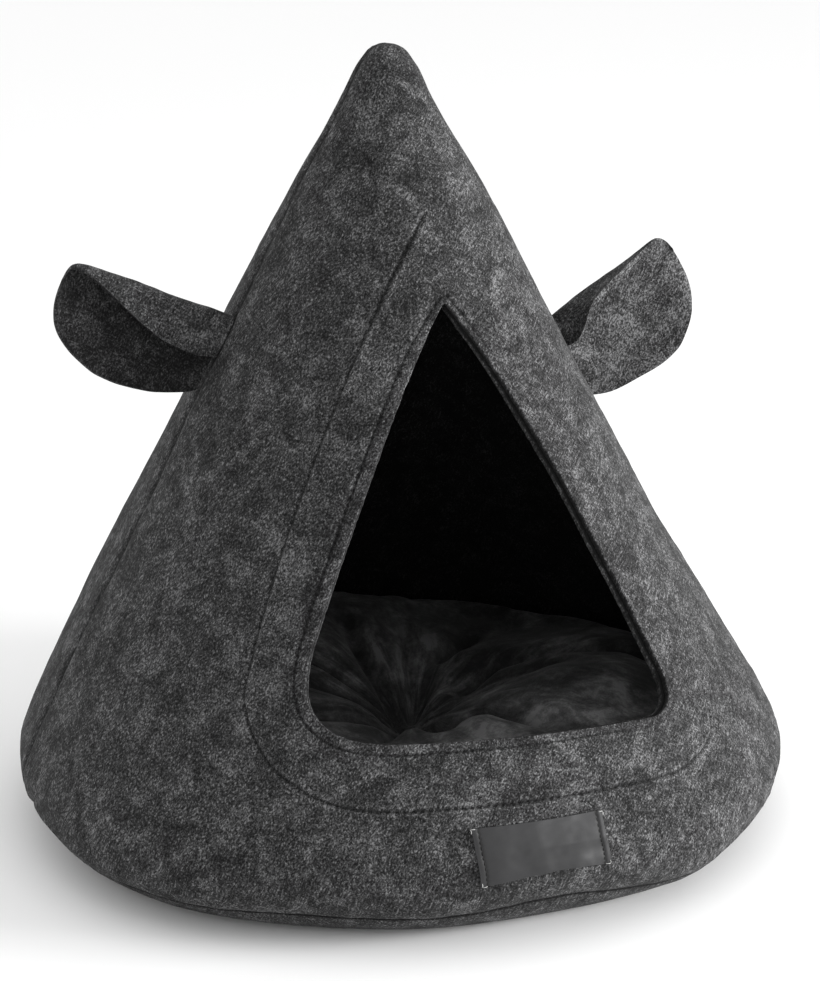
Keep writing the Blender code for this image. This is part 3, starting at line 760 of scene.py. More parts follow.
def modify(thing, name, kind, **values):
    """Shapes a piece by a modifier with the given values, which is applied at once."""
    modifier = put(thing.modifiers.new(name, kind), **values)
    bpy.ops.object.select_all(action="DESELECT")
    thing.select_set(True)
    bpy.context.view_layer.objects.active = thing
    bpy.ops.object.modifier_apply(modifier=modifier.name)


def round_edges(thing, width, segments=3):
    """Rounds the cut edges of a piece."""
    modify(thing, "Rounded cut edge", "BEVEL", width=width, segments=segments, limit_method="ANGLE",
           angle_limit=radians(50.0))
    bpy.ops.object.shade_smooth_by_angle(angle=radians(60.0))


# ---- Materials ----
SHADER_SOCKETS = ("Roughness", "Specular IOR Level", "Sheen Weight", "Sheen Roughness")
STRAND_TURNS = ((0.2, 0.5, 0.1), (1.2, -0.4, 0.9), (-0.7, 1.1, 2.0), (0.5, 1.9, -0.8))
STRAND_SIZE = (1 / 165.0, 1 / 1150.0, 1 / 1150.0)


def feed(tree, socket, value):
    """Gives an input a value, or joins it to another node's output."""
    if isinstance(value, bpy.types.NodeSocket):
        tree.links.new(value, socket)
    else:
        socket.default_value = value


def node(tree, kind, **values):
    """A shader node from its properties and inputs, placed to the right of the earlier ones."""
    made = tree.nodes.new(kind)
    column, row = divmod(len(tree.nodes), 4)
    made.location = (220 * column - 1800, 400 - 280 * row)
    for key, value in values.items():
        if hasattr(made, key):
            setattr(made, key, value)
        else:
            feed(tree, made.inputs[key], value)
    return made


def maths(tree, operation, *values, kind="ShaderNodeMath"):
    """The result of a sum on values and other nodes' outputs."""
    made = node(tree, kind, operation=operation)
    for socket, value in zip(made.inputs, values):
        feed(tree, socket, value)
    return made.outputs[0]


def weighted(tree, value, weight, rest):
    """A value times a weight, plus the rest."""
    return maths(tree, "MULTIPLY_ADD", value, weight, rest)


def noise_mask(tree, place, scale, detail, roughness=0.5, distortion=0.0):
    """Smooth random values from 0 to 1."""
    made = node(tree, "ShaderNodeTexNoise", Vector=place, Scale=scale, Detail=detail, Roughness=roughness,
                Distortion=distortion)
    return made.outputs["Fac"]


def stretched(tree, value, low, high):
    """A mask from 0 at the low value to 1 at the high one."""
    made = node(tree, "ShaderNodeMapRange", Value=value, **{"From Min": low, "From Max": high})
    return made.outputs[0]


def marked(tree, name, output="Fac"):
    """What is marked on the points of the mesh under a name."""
    return node(tree, "ShaderNodeAttribute", attribute_name=name).outputs[output]


def own_place(tree):
    """Place on the object, in metres."""
    return node(tree, "ShaderNodeTexCoord").outputs["Object"]


def shaded_ramp(tree, colour, spread, mask):
    """Colours from dark to light about a middle colour, driven by a mask."""
    ramp = node(tree, "ShaderNodeValToRGB", Fac=mask)
    stops = ramp.color_ramp.elements
    places = np.linspace(0.0, 1.0, 7)
    stops[0].position, stops[1].position = places[0], places[-1]
    for place in places[1:-1]:
        stops.new(place)
    for stop, place in zip(stops, places):
        stop.color = (*np.minimum(np.array(colour) * spread ** (2 * place - 1), 1.0), 1.0)
    return ramp.outputs["Color"]


def surface(name, *values):
    """A material whose shader's own sockets are set to the values, in the order of SHADER_SOCKETS."""
    material = bpy.data.materials.new(name)
    material.use_nodes = True
    for key, value in zip(SHADER_SOCKETS, values):
        material.node_tree.nodes["Principled BSDF"].inputs[key].default_value = value
    return material


def dress(material, colour, height, strength, distance):
    """Joins a colour and a fine relief to a material's shader."""
    tree = material.node_tree
    bump = node(tree, "ShaderNodeBump", Strength=strength, Distance=distance, Height=height)
    tree.links.new(colour, tree.nodes["Principled BSDF"].inputs["Base Color"])
    tree.links.new(bump.outputs["Normal"], tree.nodes["Principled BSDF"].inputs["Normal"])
    return material


def felt_group():
    """Mottle and loose fibres of needled felt, as a shade from 0 to 1 and a height."""
    tree = bpy.data.node_groups.new("Felt fibres", "ShaderNodeTree")
    tree.interface.new_socket("Fineness", in_out="INPUT", socket_type="NodeSocketFloat").default_value = 1.0
    for name in ("Shade", "Height"):
        tree.interface.new_socket(name, in_out="OUTPUT", socket_type="NodeSocketFloat")
    entry, leave = node(tree, "NodeGroupInput"), node(tree, "NodeGroupOutput")
    scaled = node(tree, "ShaderNodeVectorMath", operation="SCALE", Vector=own_place(tree),
                  Scale=entry.outputs["Fineness"])
    place = scaled.outputs[0]
    blotch = noise_mask(tree, place, 70.0, 3.0, 0.62, 0.7)
    grain = noise_mask(tree, place, 820.0, 2.0, 0.6, 0.2)
    swirl = node(tree, "ShaderNodeTexNoise", Vector=place, Scale=150.0, Detail=1.0)
    bent = maths(tree, "MULTIPLY_ADD", swirl.outputs["Color"], (0.0022, 0.0022, 0.0022), place,
                 kind="ShaderNodeVectorMath")
    strands = []
    for turn in STRAND_TURNS:
        turned = node(tree, "ShaderNodeMapping", vector_type="TEXTURE", Vector=bent, Rotation=turn, Scale=STRAND_SIZE)
        strands.append(noise_mask(tree, turned.outputs[0], 1.0, 1.0))
    light = maths(tree, "MAXIMUM", maths(tree, "MAXIMUM", strands[0], strands[1]), strands[2])
    dark = maths(tree, "MINIMUM", maths(tree, "MINIMUM", strands[1], strands[2]), strands[3])
    mixed = weighted(tree, grain, 0.5, maths(tree, "ADD", light, dark))
    feed(tree, leave.inputs["Shade"], stretched(tree, weighted(tree, blotch, 0.72, mixed), 1.295, 1.925))
    feed(tree, leave.inputs["Height"], weighted(tree, blotch, 0.25, mixed))
    return tree


def felt_material():
    """Mottled felt, with a painted highlight along marked cut edges, painted shade on inner faces, and painted shade
    along seams, cut faces and sewing lines (a painted highlight where the mark is below 0).
    """
    name = "Mottled charcoal felt"
    if name in bpy.data.materials:
        return bpy.data.materials[name]
    material = surface(name, 0.95, 0.08, 0.03, 0.6)
    tree = material.node_tree
    fibres = node(tree, "ShaderNodeGroup", node_tree=felt_group())
    shade = fibres.outputs["Shade"]
    # painted light and shade: a painted highlight on cut edges, painted shade on inner faces, painted shade in seams,
    # splits and sewn grooves
    for place, weight in (("cut", 0.12), ("inside", -0.42), ("pressed", -0.6)):
        shade = weighted(tree, marked(tree, place), weight, shade)
    colour = shaded_ramp(tree, settings().felt_colour, 5.1, shade)
    return dress(material, colour, fibres.outputs["Height"], 0.6, 0.0005)


def plush_material():
    """Short pile that lies in streaks, with painted shade in the folds."""
    material = surface("Dark short plush", 0.9, 0.1, 0.12, 0.45)
    tree = material.node_tree
    place = own_place(tree)
    brushed = noise_mask(tree, marked(tree, "brushed", "Vector"), 1.0, 5.0, 0.66, 0.5)
    height = weighted(tree, noise_mask(tree, place, 260.0, 2.0, 0.6), 1.2, noise_mask(tree, place, 900.0, 2.0, 0.6))
    stroke = weighted(tree, brushed, 1.4, noise_mask(tree, place, 16.0, 2.0, 0.55, 0.9))
    mask = stretched(tree, weighted(tree, height, 0.25, stroke), 1.22, 1.75)
    # painted shade in the folds and puckers
    shade = weighted(tree, marked(tree, "pressed"), -0.5, mask)
    return dress(material, shaded_ramp(tree, settings().plush_colour, 3.0, shade), height, 0.5, 0.0007)


def woven_material():
    """Smooth tape of crossing threads, with painted shade along the seams where it is sewn down."""
    material = surface("Smooth woven tape", 0.5, 0.35, 0.05)
    tree = material.node_tree
    place = own_place(tree)
    warp, weft = (
        node(tree, "ShaderNodeTexWave", bands_direction=way, Vector=place, Scale=scale, Distortion=0.4,
             **{"Detail Scale": 300.0}).outputs["Fac"]
        for way, scale in (("X", 520.0), ("Z", 760.0))
    )
    weave = maths(tree, "MULTIPLY", warp, weft)
    mask = stretched(tree, weighted(tree, noise_mask(tree, place, 45.0, 3.0), 1.6, weave), -0.9, 3.0)
    # painted shade along the sewn-down seams
    shade = weighted(tree, marked(tree, "pressed"), -1.2, mask)
    return dress(material, shaded_ramp(tree, settings().label_colour, 4.0, shade), weave, 0.25, 0.0001)


def thread_material(name, colour):
    """Twisted sewing thread, a little lighter on its strands."""
    material = surface(name, 0.75, 0.2)
    tree = material.node_tree
    strands = noise_mask(tree, own_place(tree), 1500.0, 2.0)
    return dress(material, shaded_ramp(tree, colour, 2.0, strands), strands, 0.4, 0.0001)


# ---- Felt pieces ----
def finish_piece(thing, slot_name, *cad_names):
    """Gives a piece its body and hides the CAD nodes that it stands for; slot_name is not used."""
    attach(thing, "root")
    if cad_names:
        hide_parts(*cad_names)


class SheetRows:
    """Rows of a felt sheet: flat places, each with the depth of both faces and its marks of painted shade."""

    def __init__(self):
        self.flat, self.values = [], []

    def add(self, flat, height=0.0, roll=0.0, lift=0.0, pressed=0.0, base_depth=0.0, pressed_inside=0.0, inside=1.0):
        outer = base_depth + roll - lift - height
        inner = base_depth + settings().felt_thickness - roll - lift
        # depths of both faces, painted shade on the outer then the inner face, and painted shade on the inner face
        # only
        values = (outer, inner, pressed, pressed_inside, 0.0, inside)
        self.flat.append(flat)
        self.values.append([np.broadcast_to(value, len(flat)) for value in values])

    def sheet(self, name, material):
        flat, values = np.vstack(self.flat), np.hstack(self.values)
        outer, inner = (panel_points(flat, depth) for depth in values[:2])
        faces = patch(point_numbers(len(self.flat), len(self.flat[0])), rings=True)
        return thick_sheet(name, outer, inner, faces, material, pressed=values[2:4].reshape(-1),
                           inside=values[4:6].reshape(-1))


def front_wall(felt):
    """Front half of the wall, with the doorway cut out, both sewing lines drawn in, and painted shade along its cut
    edge, sewing lines and seams.
    """
    door, stitch, border = outline(DOOR), outline(STITCH), panel_border()
    cut, inset = ragged(door), topstitch_inset(door)
    rows = SheetRows()
    # painted shade on the cut face, and painted shadow at the inner corner where the facing lies behind
    for distance, depth in rounded_edge(EDGE_ROLL):
        rows.add(widened(cut, distance), roll=depth, lift=FACING_LIFT, pressed=CUT_SHADE * depth / EDGE_ROLL,
                 pressed_inside=depth / EDGE_ROLL, inside=0.0)
    rows.add(widened(cut, EDGE_ROLL + 0.5 * (inset + TOPSTITCH_OFFSETS[0] - EDGE_ROLL)), lift=FACING_LIFT)
    drawn = pucker(widened(door, inset), topstitch_strength(door))
    # painted shade along the doorway's sewing line
    for offset in TOPSTITCH_OFFSETS:
        rows.add(widened(door, inset + offset), lift=FACING_LIFT,
                 height=-TOPSTITCH_DEPTH * hump(offset, TOPSTITCH_HALF_WIDTH) * drawn,
                 pressed=TOPSTITCH_SHADE * hump(offset, TOPSTITCH_SHADE_HALF_WIDTH) * drawn)
    near_door, near_stitch = widened(door, BETWEEN_FROM_DOOR), widened(stitch, BETWEEN_FROM_STITCH)
    for share in (0.0, 0.2, 0.4, 0.6, 0.8, 1.0):
        rows.add(near_door + (near_stitch - near_door) * share, lift=FACING_LIFT)
    strength = facing_strength(stitch)
    drawn = pucker(stitch, strength)
    # painted shade along the facing's sewing line, with a painted highlight on the lip beside it
    for offset in FACING_SEAM_OFFSETS:
        lip = hump(abs(offset) - SEAM_LIP_PLACE, SEAM_LIP_HALF_WIDTH) * strength
        rows.add(widened(stitch, offset),
                 lift=FACING_LIFT * (1 - ease((offset + FACING_LIFT_FADE) / (2 * FACING_LIFT_FADE))),
                 height=SEAM_LIP_HEIGHT * lip - FACING_SEAM_DEPTH * hump(offset, FACING_SEAM_HALF_WIDTH) * drawn,
                 pressed=FACING_SEAM_SHADE * hump(offset, FACING_SEAM_SHADE_HALF_WIDTH) * drawn - SEAM_LIP_PAINTED_HIGHLIGHT * lip)
    near_border = widened(stitch, BEYOND_STITCH)
    to_border = border - near_border
    distance = np.linalg.norm(to_border, axis=1)[:, None]
    for share in (0.0, 0.14, 0.28, 0.42, 0.56, 0.7, 0.84):
        rows.add(near_border + to_border * share)
    for left in BORDER_ROWS:
        rows.add(border - to_border * np.minimum(left / distance, 0.12),
                 height=-FRONT_SINK * hump(left, SEAM_SINK_REACH))
    # painted shade in the side and foot seams
    for left, depth in reversed(rounded_edge(SEAM_ROLL)):
        rows.add(border - to_border * np.minimum(left / distance, 0.03), roll=depth, height=-FRONT_SINK,
                 pressed=0.3 + 0.7 * depth / SEAM_ROLL)
    return rows.sheet("front_wall", felt)


def doorway_facing(felt):
    """Second layer of felt behind the front wall, round the doorway."""
    door, stitch = outline(DOOR), outline(STITCH)
    cut, splay = ragged(door), 1 - leftness(len(door))
    under = settings().felt_thickness + PANEL_GAP
    rows = SheetRows()
    # painted shadow on the facing's face at its cut edge, under the front wall
    for distance, depth in rounded_edge(EDGE_ROLL):
        rows.add(widened(cut, distance - FACING_REVEAL * splay), roll=depth, lift=FACING_LIFT - FACING_SPLAY * splay,
                 base_depth=under, pressed=1 - (1 - CUT_SHADE) * depth / EDGE_ROLL,
                 pressed_inside=CUT_SHADE * depth / EDGE_ROLL, inside=0.1)
    # painted shadow where the facing lies under the front wall's edge
    for share, splayed in ((0.04, 0.8), (0.09, 0.4), (0.15, 0.1), (0.3, 0.0), (0.5, 0.0), (0.7, 0.0)):
        rows.add(door + (stitch - door) * share, lift=FACING_LIFT - FACING_SPLAY * splay * splayed,
                 pressed=float(splayed > 0), base_depth=under)
    # painted shade along the sewing line
    for offset in (-0.004, -0.002, -0.001, 0.0, 0.001, 0.002):
        rows.add(widened(stitch, offset), lift=FACING_LIFT * (1 - ease((offset + 0.004) / 0.004)),
                 pressed=0.4 * hump(offset, 0.0008), base_depth=under)
    for left, depth in reversed(rounded_edge(EDGE_ROLL)):
        rows.add(widened(stitch, FACING_MARGIN - left), roll=depth, base_depth=under)
    return rows.sheet("doorway_facing", felt)


def back_wall(felt):
    """Back half of the wall, drawn in a little along both side seams."""
    seam = [(distance, depth, SEAM_SINK) for distance, depth in rounded_edge(SEAM_ROLL)]
    for left in BACK_SEAM_ROWS:
        seam.append((left, 0.0, SEAM_SINK * hump(left - SEAM_ROLL, SEAM_SINK_REACH)))
    distances, rolls, sinks = (np.array(column) for column in zip(*seam))
    runs = np.append(end_heavy(80, 0.5) * (FOOT_RUN - distances[-1]), FOOT_RUN - distances[-2::-1])
    radius = np.maximum(side_section(runs)[0], 1e-5)[:, None]
    turn = np.minimum(distances / radius, 0.35 * distances / distances[-1])
    middle = turn[:, -1:] + (pi - 2 * turn[:, -1:]) * even(110)[1:-1]
    azimuths = pi / 2 + np.hstack([turn, middle, pi - turn[:, ::-1]])
    runs = np.broadcast_to(runs[:, None], azimuths.shape)
    side_left = np.minimum(azimuths - pi / 2, 1.5 * pi - azimuths) * radius
    left = np.minimum(side_left, FOOT_RUN - runs)
    roll = np.interp(left, distances, rolls)
    sink = np.interp(side_left, distances, sinks, right=0.0)
    outer, inner = (wall_points(azimuths, runs, depth).reshape(-1, 3) - FRONT_SHIFT
                    for depth in (roll + sink, settings().felt_thickness - roll))
    # painted shade along both side seams
    return thick_sheet("back_wall", outer, inner, patch(point_numbers(*azimuths.shape).T), felt,
                       pressed=0.7 * hump(left, SEAM_SINK_REACH).reshape(-1))


def round_base(felt):
    """Round base, its rim turned up to the foot seam of the wall."""
    top_run = FOOT_RUN + PANEL_GAP
    edge = np.array(rounded_edge(SEAM_ROLL))
    turned_up = np.append(edge[:, 0], (0.002, 0.003, 0.0045, 0.006, 0.008))
    level = np.array((0.003, 0.006, 0.015, 0.03, 0.05, 0.08, 0.11, 0.14, 0.17))
    runs = np.concatenate([top_run + turned_up, np.linspace(top_run + 0.0105, FLOOR_RUN, 7), FLOOR_RUN + level])
    runs, azimuths = np.meshgrid(runs, full_turn(BASE_STEPS), indexing="ij")
    roll = np.zeros(runs.shape)
    roll[:len(edge)] = edge[:, 1:]
    sink = FRONT_SINK * hump(runs - top_run, SEAM_SINK_REACH)
    outer, inner = (wall_points(azimuths, runs, depth).reshape(-1, 3)
                    for depth in (roll + sink, settings().felt_thickness - roll))
    numbers = point_numbers(*runs.shape)
    # painted shade in the foot seam
    return thick_sheet("round_base", outer, inner, patch(numbers, rings=True) + [numbers[-1][::-1].tolist()], felt,
                       pressed=hump(runs - top_run, SEAM_ROLL).reshape(-1))


def wall_stitches(name, line, lift, depth, strength, thread):
    """Sewing thread along a closed line on the front wall, dipping into the felt between stitches."""
    run = lengths(closed(line))
    total, strength = stitch_phase(line)[1], np.append(strength, strength[0])
    firm = np.interp(np.arange(total) / total * run[-1], run, strength)
    shown = np.flatnonzero(firm > THREAD_SHOWS_FROM)
    places = ((shown[:, None] + STITCH_STATIONS) / total).reshape(-1)
    flat = spaced(closed(line), places)
    dip = np.tile(STITCH_DIP * (2 * STITCH_STATIONS - 1) ** 4, len(shown))
    below = depth * np.interp(places * run[-1], run, strength) - lift - THREAD_RADIUS * 0.5 + dip
    centres = panel_points(flat, below)
    ups = panel_points(flat, below - 0.001) - centres
    shape = (len(shown), len(STITCH_STATIONS), 3)
    return thread_pieces(name, centres.reshape(shape), ups.reshape(shape), THREAD_RADIUS, thread)


class CATCAVE_OT_walls(bpy.types.Operator):
    """Sew the front and back wall, the doorway facing and the base from felt"""

    bl_idname = "catcave.walls"
    bl_label = "Felt Walls and Base"

    def execute(self, context):
        felt = felt_material()
        border, door = panel_border(), outline(DOOR)
        facing_edge = widened(outline(STITCH), FACING_MARGIN)
        front, facing, back, base = (make(felt) for make in (front_wall, doorway_facing, back_wall, round_base))
        for thing, cad_name in ((front, "front_panel"), (facing, "facing"), (back, "back_panel"), (base, "base")):
            finish_piece(thing, "charcoal_felt", cad_name)
        return {"FINISHED"}


class CATCAVE_OT_stitching(bpy.types.Operator):
    """Lay the sewing thread round the doorway and along the facing"""

    bl_idname = "catcave.stitching"
    bl_label = "Doorway Stitching"

    def execute(self, context):
        thread = thread_material("Dark sewing thread", settings().thread_colour)
        door, stitch = outline(DOOR), outline(STITCH)
        for name, line, lift, depth, strength in (
            ("doorway_stitches", widened(door, topstitch_inset(door)), FACING_LIFT, TOPSTITCH_DEPTH,
             topstitch_strength(door)),
            ("facing_stitches", stitch, FACING_LIFT / 2, FACING_SEAM_DEPTH, facing_strength(stitch)),
        ):
            finish_piece(wall_stitches(name, line, lift, depth, strength, thread), "charcoal_felt")
        return {"FINISHED"}


# ---- Ears ----
def half_section(length, half_fold, turn, curl, sign):
    """Middle line of the felt from the top of an ear's fold, down one side."""
    gone = length * (np.arange(EAR_FINE_STEPS) + 0.5) / EAR_FINE_STEPS
    angle = turn * np.minimum(gone / half_fold, 1.0) + curl * np.maximum(gone - half_fold, 0.0) / EAR_CURL_REACH
    moves = length / EAR_FINE_STEPS * np.column_stack([sign * np.cos(angle), -np.sin(angle)])
    return np.vstack([[0.0, 0.0], np.cumsum(moves, axis=0)])


def ear_section(sections, share, places):
    """Middle line of an ear's felt across its fold, as (forward, up) from the top of the fold."""
    drop, lobe, flap, half_fold, flap_turn, lobe_curl = (table_value(sections, share, k) for k in range(1, 7))
    lobe = half_section(lobe, half_fold, pi / 2, radians(lobe_curl), -1)
    flap = half_section(flap, half_fold, radians(flap_turn), 0.0, 1)
    return spaced(np.vstack([lobe[::-1], flap[1:]]), places) - (0.0, drop)


def felt_ear(name, side, top_height, tilt, length, ear_inner_painted_shading, sections, felt):
    """One ear: a round piece of felt folded over at its top and sewn into the side seam."""
    thickness = settings().felt_thickness
    places = end_heavy(90, 0.5)
    root, below = (Vector(wall_points(side * pi / 2, run_at(top_height) + run)) for run in (0.0, EAR_ROOT_REACH))
    wall_down = (below - root).normalized()
    along = Vector((side * cos(tilt), 0.0, sin(tilt)))
    square_down = Vector((side * sin(tilt), 0.0, -cos(tilt)))
    root += Vector((-wall_down.z * side, 0.0, wall_down.x * side)).normalized() * EAR_ROOT_GAP
    shares = np.sin(pi / 2 * even(64)) ** EAR_END_CROWDING
    outer, inner = [], []
    for share in shares:
        down = np.array(wall_down.lerp(square_down, float(ease(share / EAR_SQUARE_SHARE))).normalized())
        centre = np.array(root + along * (length * share))
        line = ear_section(sections, share, places)
        normal = -outward(directions(line))
        for sheet, offset in ((outer, thickness / 2), (inner, -thickness / 2)):
            forwards, up = (line + normal * offset).T[:, :, None]
            sheet.append(centre + forwards * (0.0, -1.0, 0.0) - down * (up - thickness / 2))
    outer, inner = np.vstack(outer), np.vstack(inner)
    soft = softness((outer + inner) / 2, EAR_WAVES) * np.repeat(ease(shares / EAR_SOFT_SHARE), len(places))
    move = (outer - inner) / thickness * soft[:, None]
    # painted highlight along the free cut edges and the end, and painted shade or light on the inner face
    cut_edge_highlight = np.zeros((len(shares), len(places)))
    cut_edge_highlight[-1, :] = cut_edge_highlight[:, 0] = cut_edge_highlight[:, -1] = 1.0
    return thick_sheet(name, outer + move, inner + move, patch(point_numbers(*cut_edge_highlight.shape).T), felt,
                       cut=cut_edge_highlight.reshape(-1), inside=np.repeat([0.0, ear_inner_painted_shading], len(outer)))


class CATCAVE_OT_ears(bpy.types.Operator):
    """Fold the two felt ears and set them into the side seams"""

    bl_idname = "catcave.ears"
    bl_label = "Folded Ears"

    def execute(self, context):
        for cad_name, side, top_height, tilt, length, ear_inner_painted_shading, sections in EARS:
            thing = felt_ear("felt_" + cad_name, side, top_height, radians(tilt), length, ear_inner_painted_shading, sections,
                             felt_material())
            round_edges(thing, EAR_EDGE_ROLL)
            finish_piece(thing, "charcoal_felt", cad_name)
        return {"FINISHED"}


# ---- Label ----
def label_points(across, down, height):
    """Points above the wall at the label, from places across and down it."""
    run = LABEL_TOP_RUN + down
    return wall_points(LABEL_AZIMUTH + across / side_section(run)[0], run, -height) + FRONT_SHIFT


def woven_label(material):
    """Plain woven label on the front of the wall, its two ends folded under and sewn down."""
    half = LABEL_WIDTH / 2
    middle = np.linspace(-half + 0.009, half - 0.009, 36)
    across, down = np.meshgrid(np.concatenate([-half + LABEL_ENDS, middle, (half - LABEL_ENDS)[::-1]]),
                               LABEL_HEIGHT * end_heavy(48, 0.5))
    from_end = half - np.abs(across)
    folded = 1 - ease((from_end - LABEL_END_FOLD) / LABEL_FOLD_FADE)
    holes = 0.5 + 0.5 * np.cos(2 * pi * down / LABEL_PITCH)
    seam = hump(from_end - LABEL_END_FOLD, LABEL_SEAM_HALF_WIDTH)
    top = LABEL_GAP + LABEL_THICKNESS
    top = top + LABEL_FOLD_RISE * folded * np.sin(pi * np.clip(from_end / LABEL_END_FOLD, 0.25, 0.8))
    top -= LABEL_SEAM_DEPTH * seam * (0.6 + 0.4 * holes)
    top += LABEL_WAVE * waver(zip(across.flat, down.flat), 70.0, 7.0).reshape(across.shape)
    outer, inner = (label_points(across, down, height).reshape(-1, 3)
                    for height in (top, np.full(top.shape, LABEL_UNDERSIDE)))
    # painted shade along the seams at both folded ends
    return thick_sheet("woven_label", outer, inner, patch(point_numbers(*across.shape).T), material,
                       pressed=(seam * (0.5 + 0.5 * holes)).reshape(-1))


def label_threads(name, rows, radius, material):
    """Threads on the label from rows of (across, down, height) points."""
    across, down, height = np.moveaxis(np.array(rows), -1, 0)
    centres = label_points(across, down, height)
    ups = label_points(across, down, height + 0.001) - centres
    finish_piece(thread_pieces(name, centres, ups, radius, material), "woven_label")


class CATCAVE_OT_label(bpy.types.Operator):
    """Sew the plain woven label to the wall below the doorway"""

    bl_idname = "catcave.label"
    bl_label = "Woven Label"

    def execute(self, context):
        thing = woven_label(woven_material())
        round_edges(thing, LABEL_EDGE_ROLL, 2)
        finish_piece(thing, "woven_label", "label")
        half, face = LABEL_WIDTH / 2, LABEL_GAP + LABEL_THICKNESS
        seam = half - LABEL_END_FOLD
        stitches, tacks = [], []
        for side in (-1, 1):
            for k in range(int((LABEL_HEIGHT + 0.002) / LABEL_PITCH)):
                start = k * LABEL_PITCH + 0.0004
                stitches.append([(side * seam, start + LABEL_PITCH * t, face - dip) for t, dip in LABEL_STITCH])
        # the loose end of the thread, above the row on the right
        stitches.append([
            (seam - 0.0004 - 0.0028 * t, -0.0004 - 0.0052 * t, 0.001 + 0.0012 * sin(pi * t)) for t in even(4)
        ])
        label_threads("label_stitches", stitches, THREAD_RADIUS,
                      thread_material("Dark label thread", settings().thread_colour))
        for side, beyond, foot, lower in LABEL_TACKS:
            x, y = side * (half + beyond), foot * LABEL_HEIGHT + lower
            tacks.append([(x - side * 0.0026 * t, y, face + 0.0009 * sin(pi * t)) for t in even(4)])
            tacks.append([(x, y + 0.0022 * t * (1 - 2 * foot), face + 0.0007 * sin(pi * t)) for t in even(4)])
        label_threads("label_tacks", tacks, TACK_RADIUS, thread_material("Pale tacking thread", TACK_COLOUR))
        return {"FINISHED"}


# ---- Cushion ----
def along_fold(places, line):
    """Distance of places from a line of points, and the share of the line's length that they are beside."""
    line = np.array(line)
    run = lengths(line)
    best, share = np.full(len(places), np.inf), np.zeros(len(places))
    for start, end, before, after in zip(line, line[1:], run, run[1:]):
        step = end - start
        t = np.clip((places - start) @ step / (step @ step), 0.0, 1.0)
        away = np.linalg.norm(places - start - t[:, None] * step, axis=1)
        share = np.where(away < best, (before + (after - before) * t) / run[-1], share)
        best = np.minimum(best, away)
    return best, share


def fold_drop(places, narrower=1.0):
    """How far the top of the cushion is drawn in by its folds, which fade towards both ends."""
    drop = np.zeros(len(places))
    for half_width, depth, line in CUSHION_FOLDS:
        away, share = along_fold(places, line)
        ends = ease(share / FOLD_START_FADE) * ease((1 - share) / FOLD_END_FADE)
        drop += depth * hump(away, half_width * narrower) * ends
    return drop


def bulge_rise(places):
    """How far the filling pushes up or lies below the even crown between the folds."""
    return sum(height * hump(np.hypot(places[:, 0] - x, places[:, 1] - y), half_width)
               for x, y, half_width, height in CUSHION_BULGES)


def ring_at(radius, azimuths):
    """Places round the middle, at the given azimuths."""
    return np.column_stack([radius * np.sin(azimuths), -radius * np.cos(azimuths)])


def cushion_form(material):
    """Round filled cushion, tufted in the middle, its top creased towards the tuft."""
    shares = np.unique(np.append(even(40)[1:], (0.012, 0.97, 0.985, 0.993)))
    top, under = [], []
    for share in shares:
        high, low = (table_value(CUSHION_SECTION, share, column) for column in (1, 2))
        ring = ring_at(CUSHION_RADIUS * share, full_turn(CUSHION_STEPS)) + np.array(CUSHION_TUFT) * (1 - share)
        relief = (bulge_rise(ring) - fold_drop(ring)) * (1 - ease((share - RELIEF_TO_SHARE) / RELIEF_FADE))
        relief *= ease(share / RELIEF_FROM_SHARE)
        top.append(np.column_stack([ring, high + relief]))
        under.append(np.column_stack([ring, np.full(len(ring), max(low, CUSHION_UNDERSIDE))]))
    numbers = point_numbers(len(shares), CUSHION_STEPS)
    faces, below = patch(numbers, rings=True), numbers + numbers.size
    faces += [[index + numbers.size for index in reversed(face)] for face in faces]
    faces += patch(np.array([numbers[-1], below[-1]]), rings=True)
    points = np.vstack(top + under + [[(*CUSHION_TUFT, high) for high in CUSHION_SECTION[0][1:]]])
    for k, after in enumerate(np.roll(numbers[0], -1).tolist()):
        faces += [(len(points) - 2, k, after), (len(points) - 1, numbers.size + after, numbers.size + k)]
    return make_piece("plush_cushion", points, faces, material, smooth_angle=80.0)


def points_of(thing):
    """The points of a mesh."""
    places = np.empty(len(thing.data.vertices) * 3)
    thing.data.vertices.foreach_get("co", places)
    return places.reshape(-1, 3)


def set_points(thing, places):
    """Moves the points of a mesh to the given places."""
    thing.data.vertices.foreach_set("co", np.ascontiguousarray(places).reshape(-1))
    thing.data.update()


def from_tuft(places):
    """How far places are from the tuft, to the right and to the back."""
    return places[:, 0] - CUSHION_TUFT[0], places[:, 1] - CUSHION_TUFT[1]


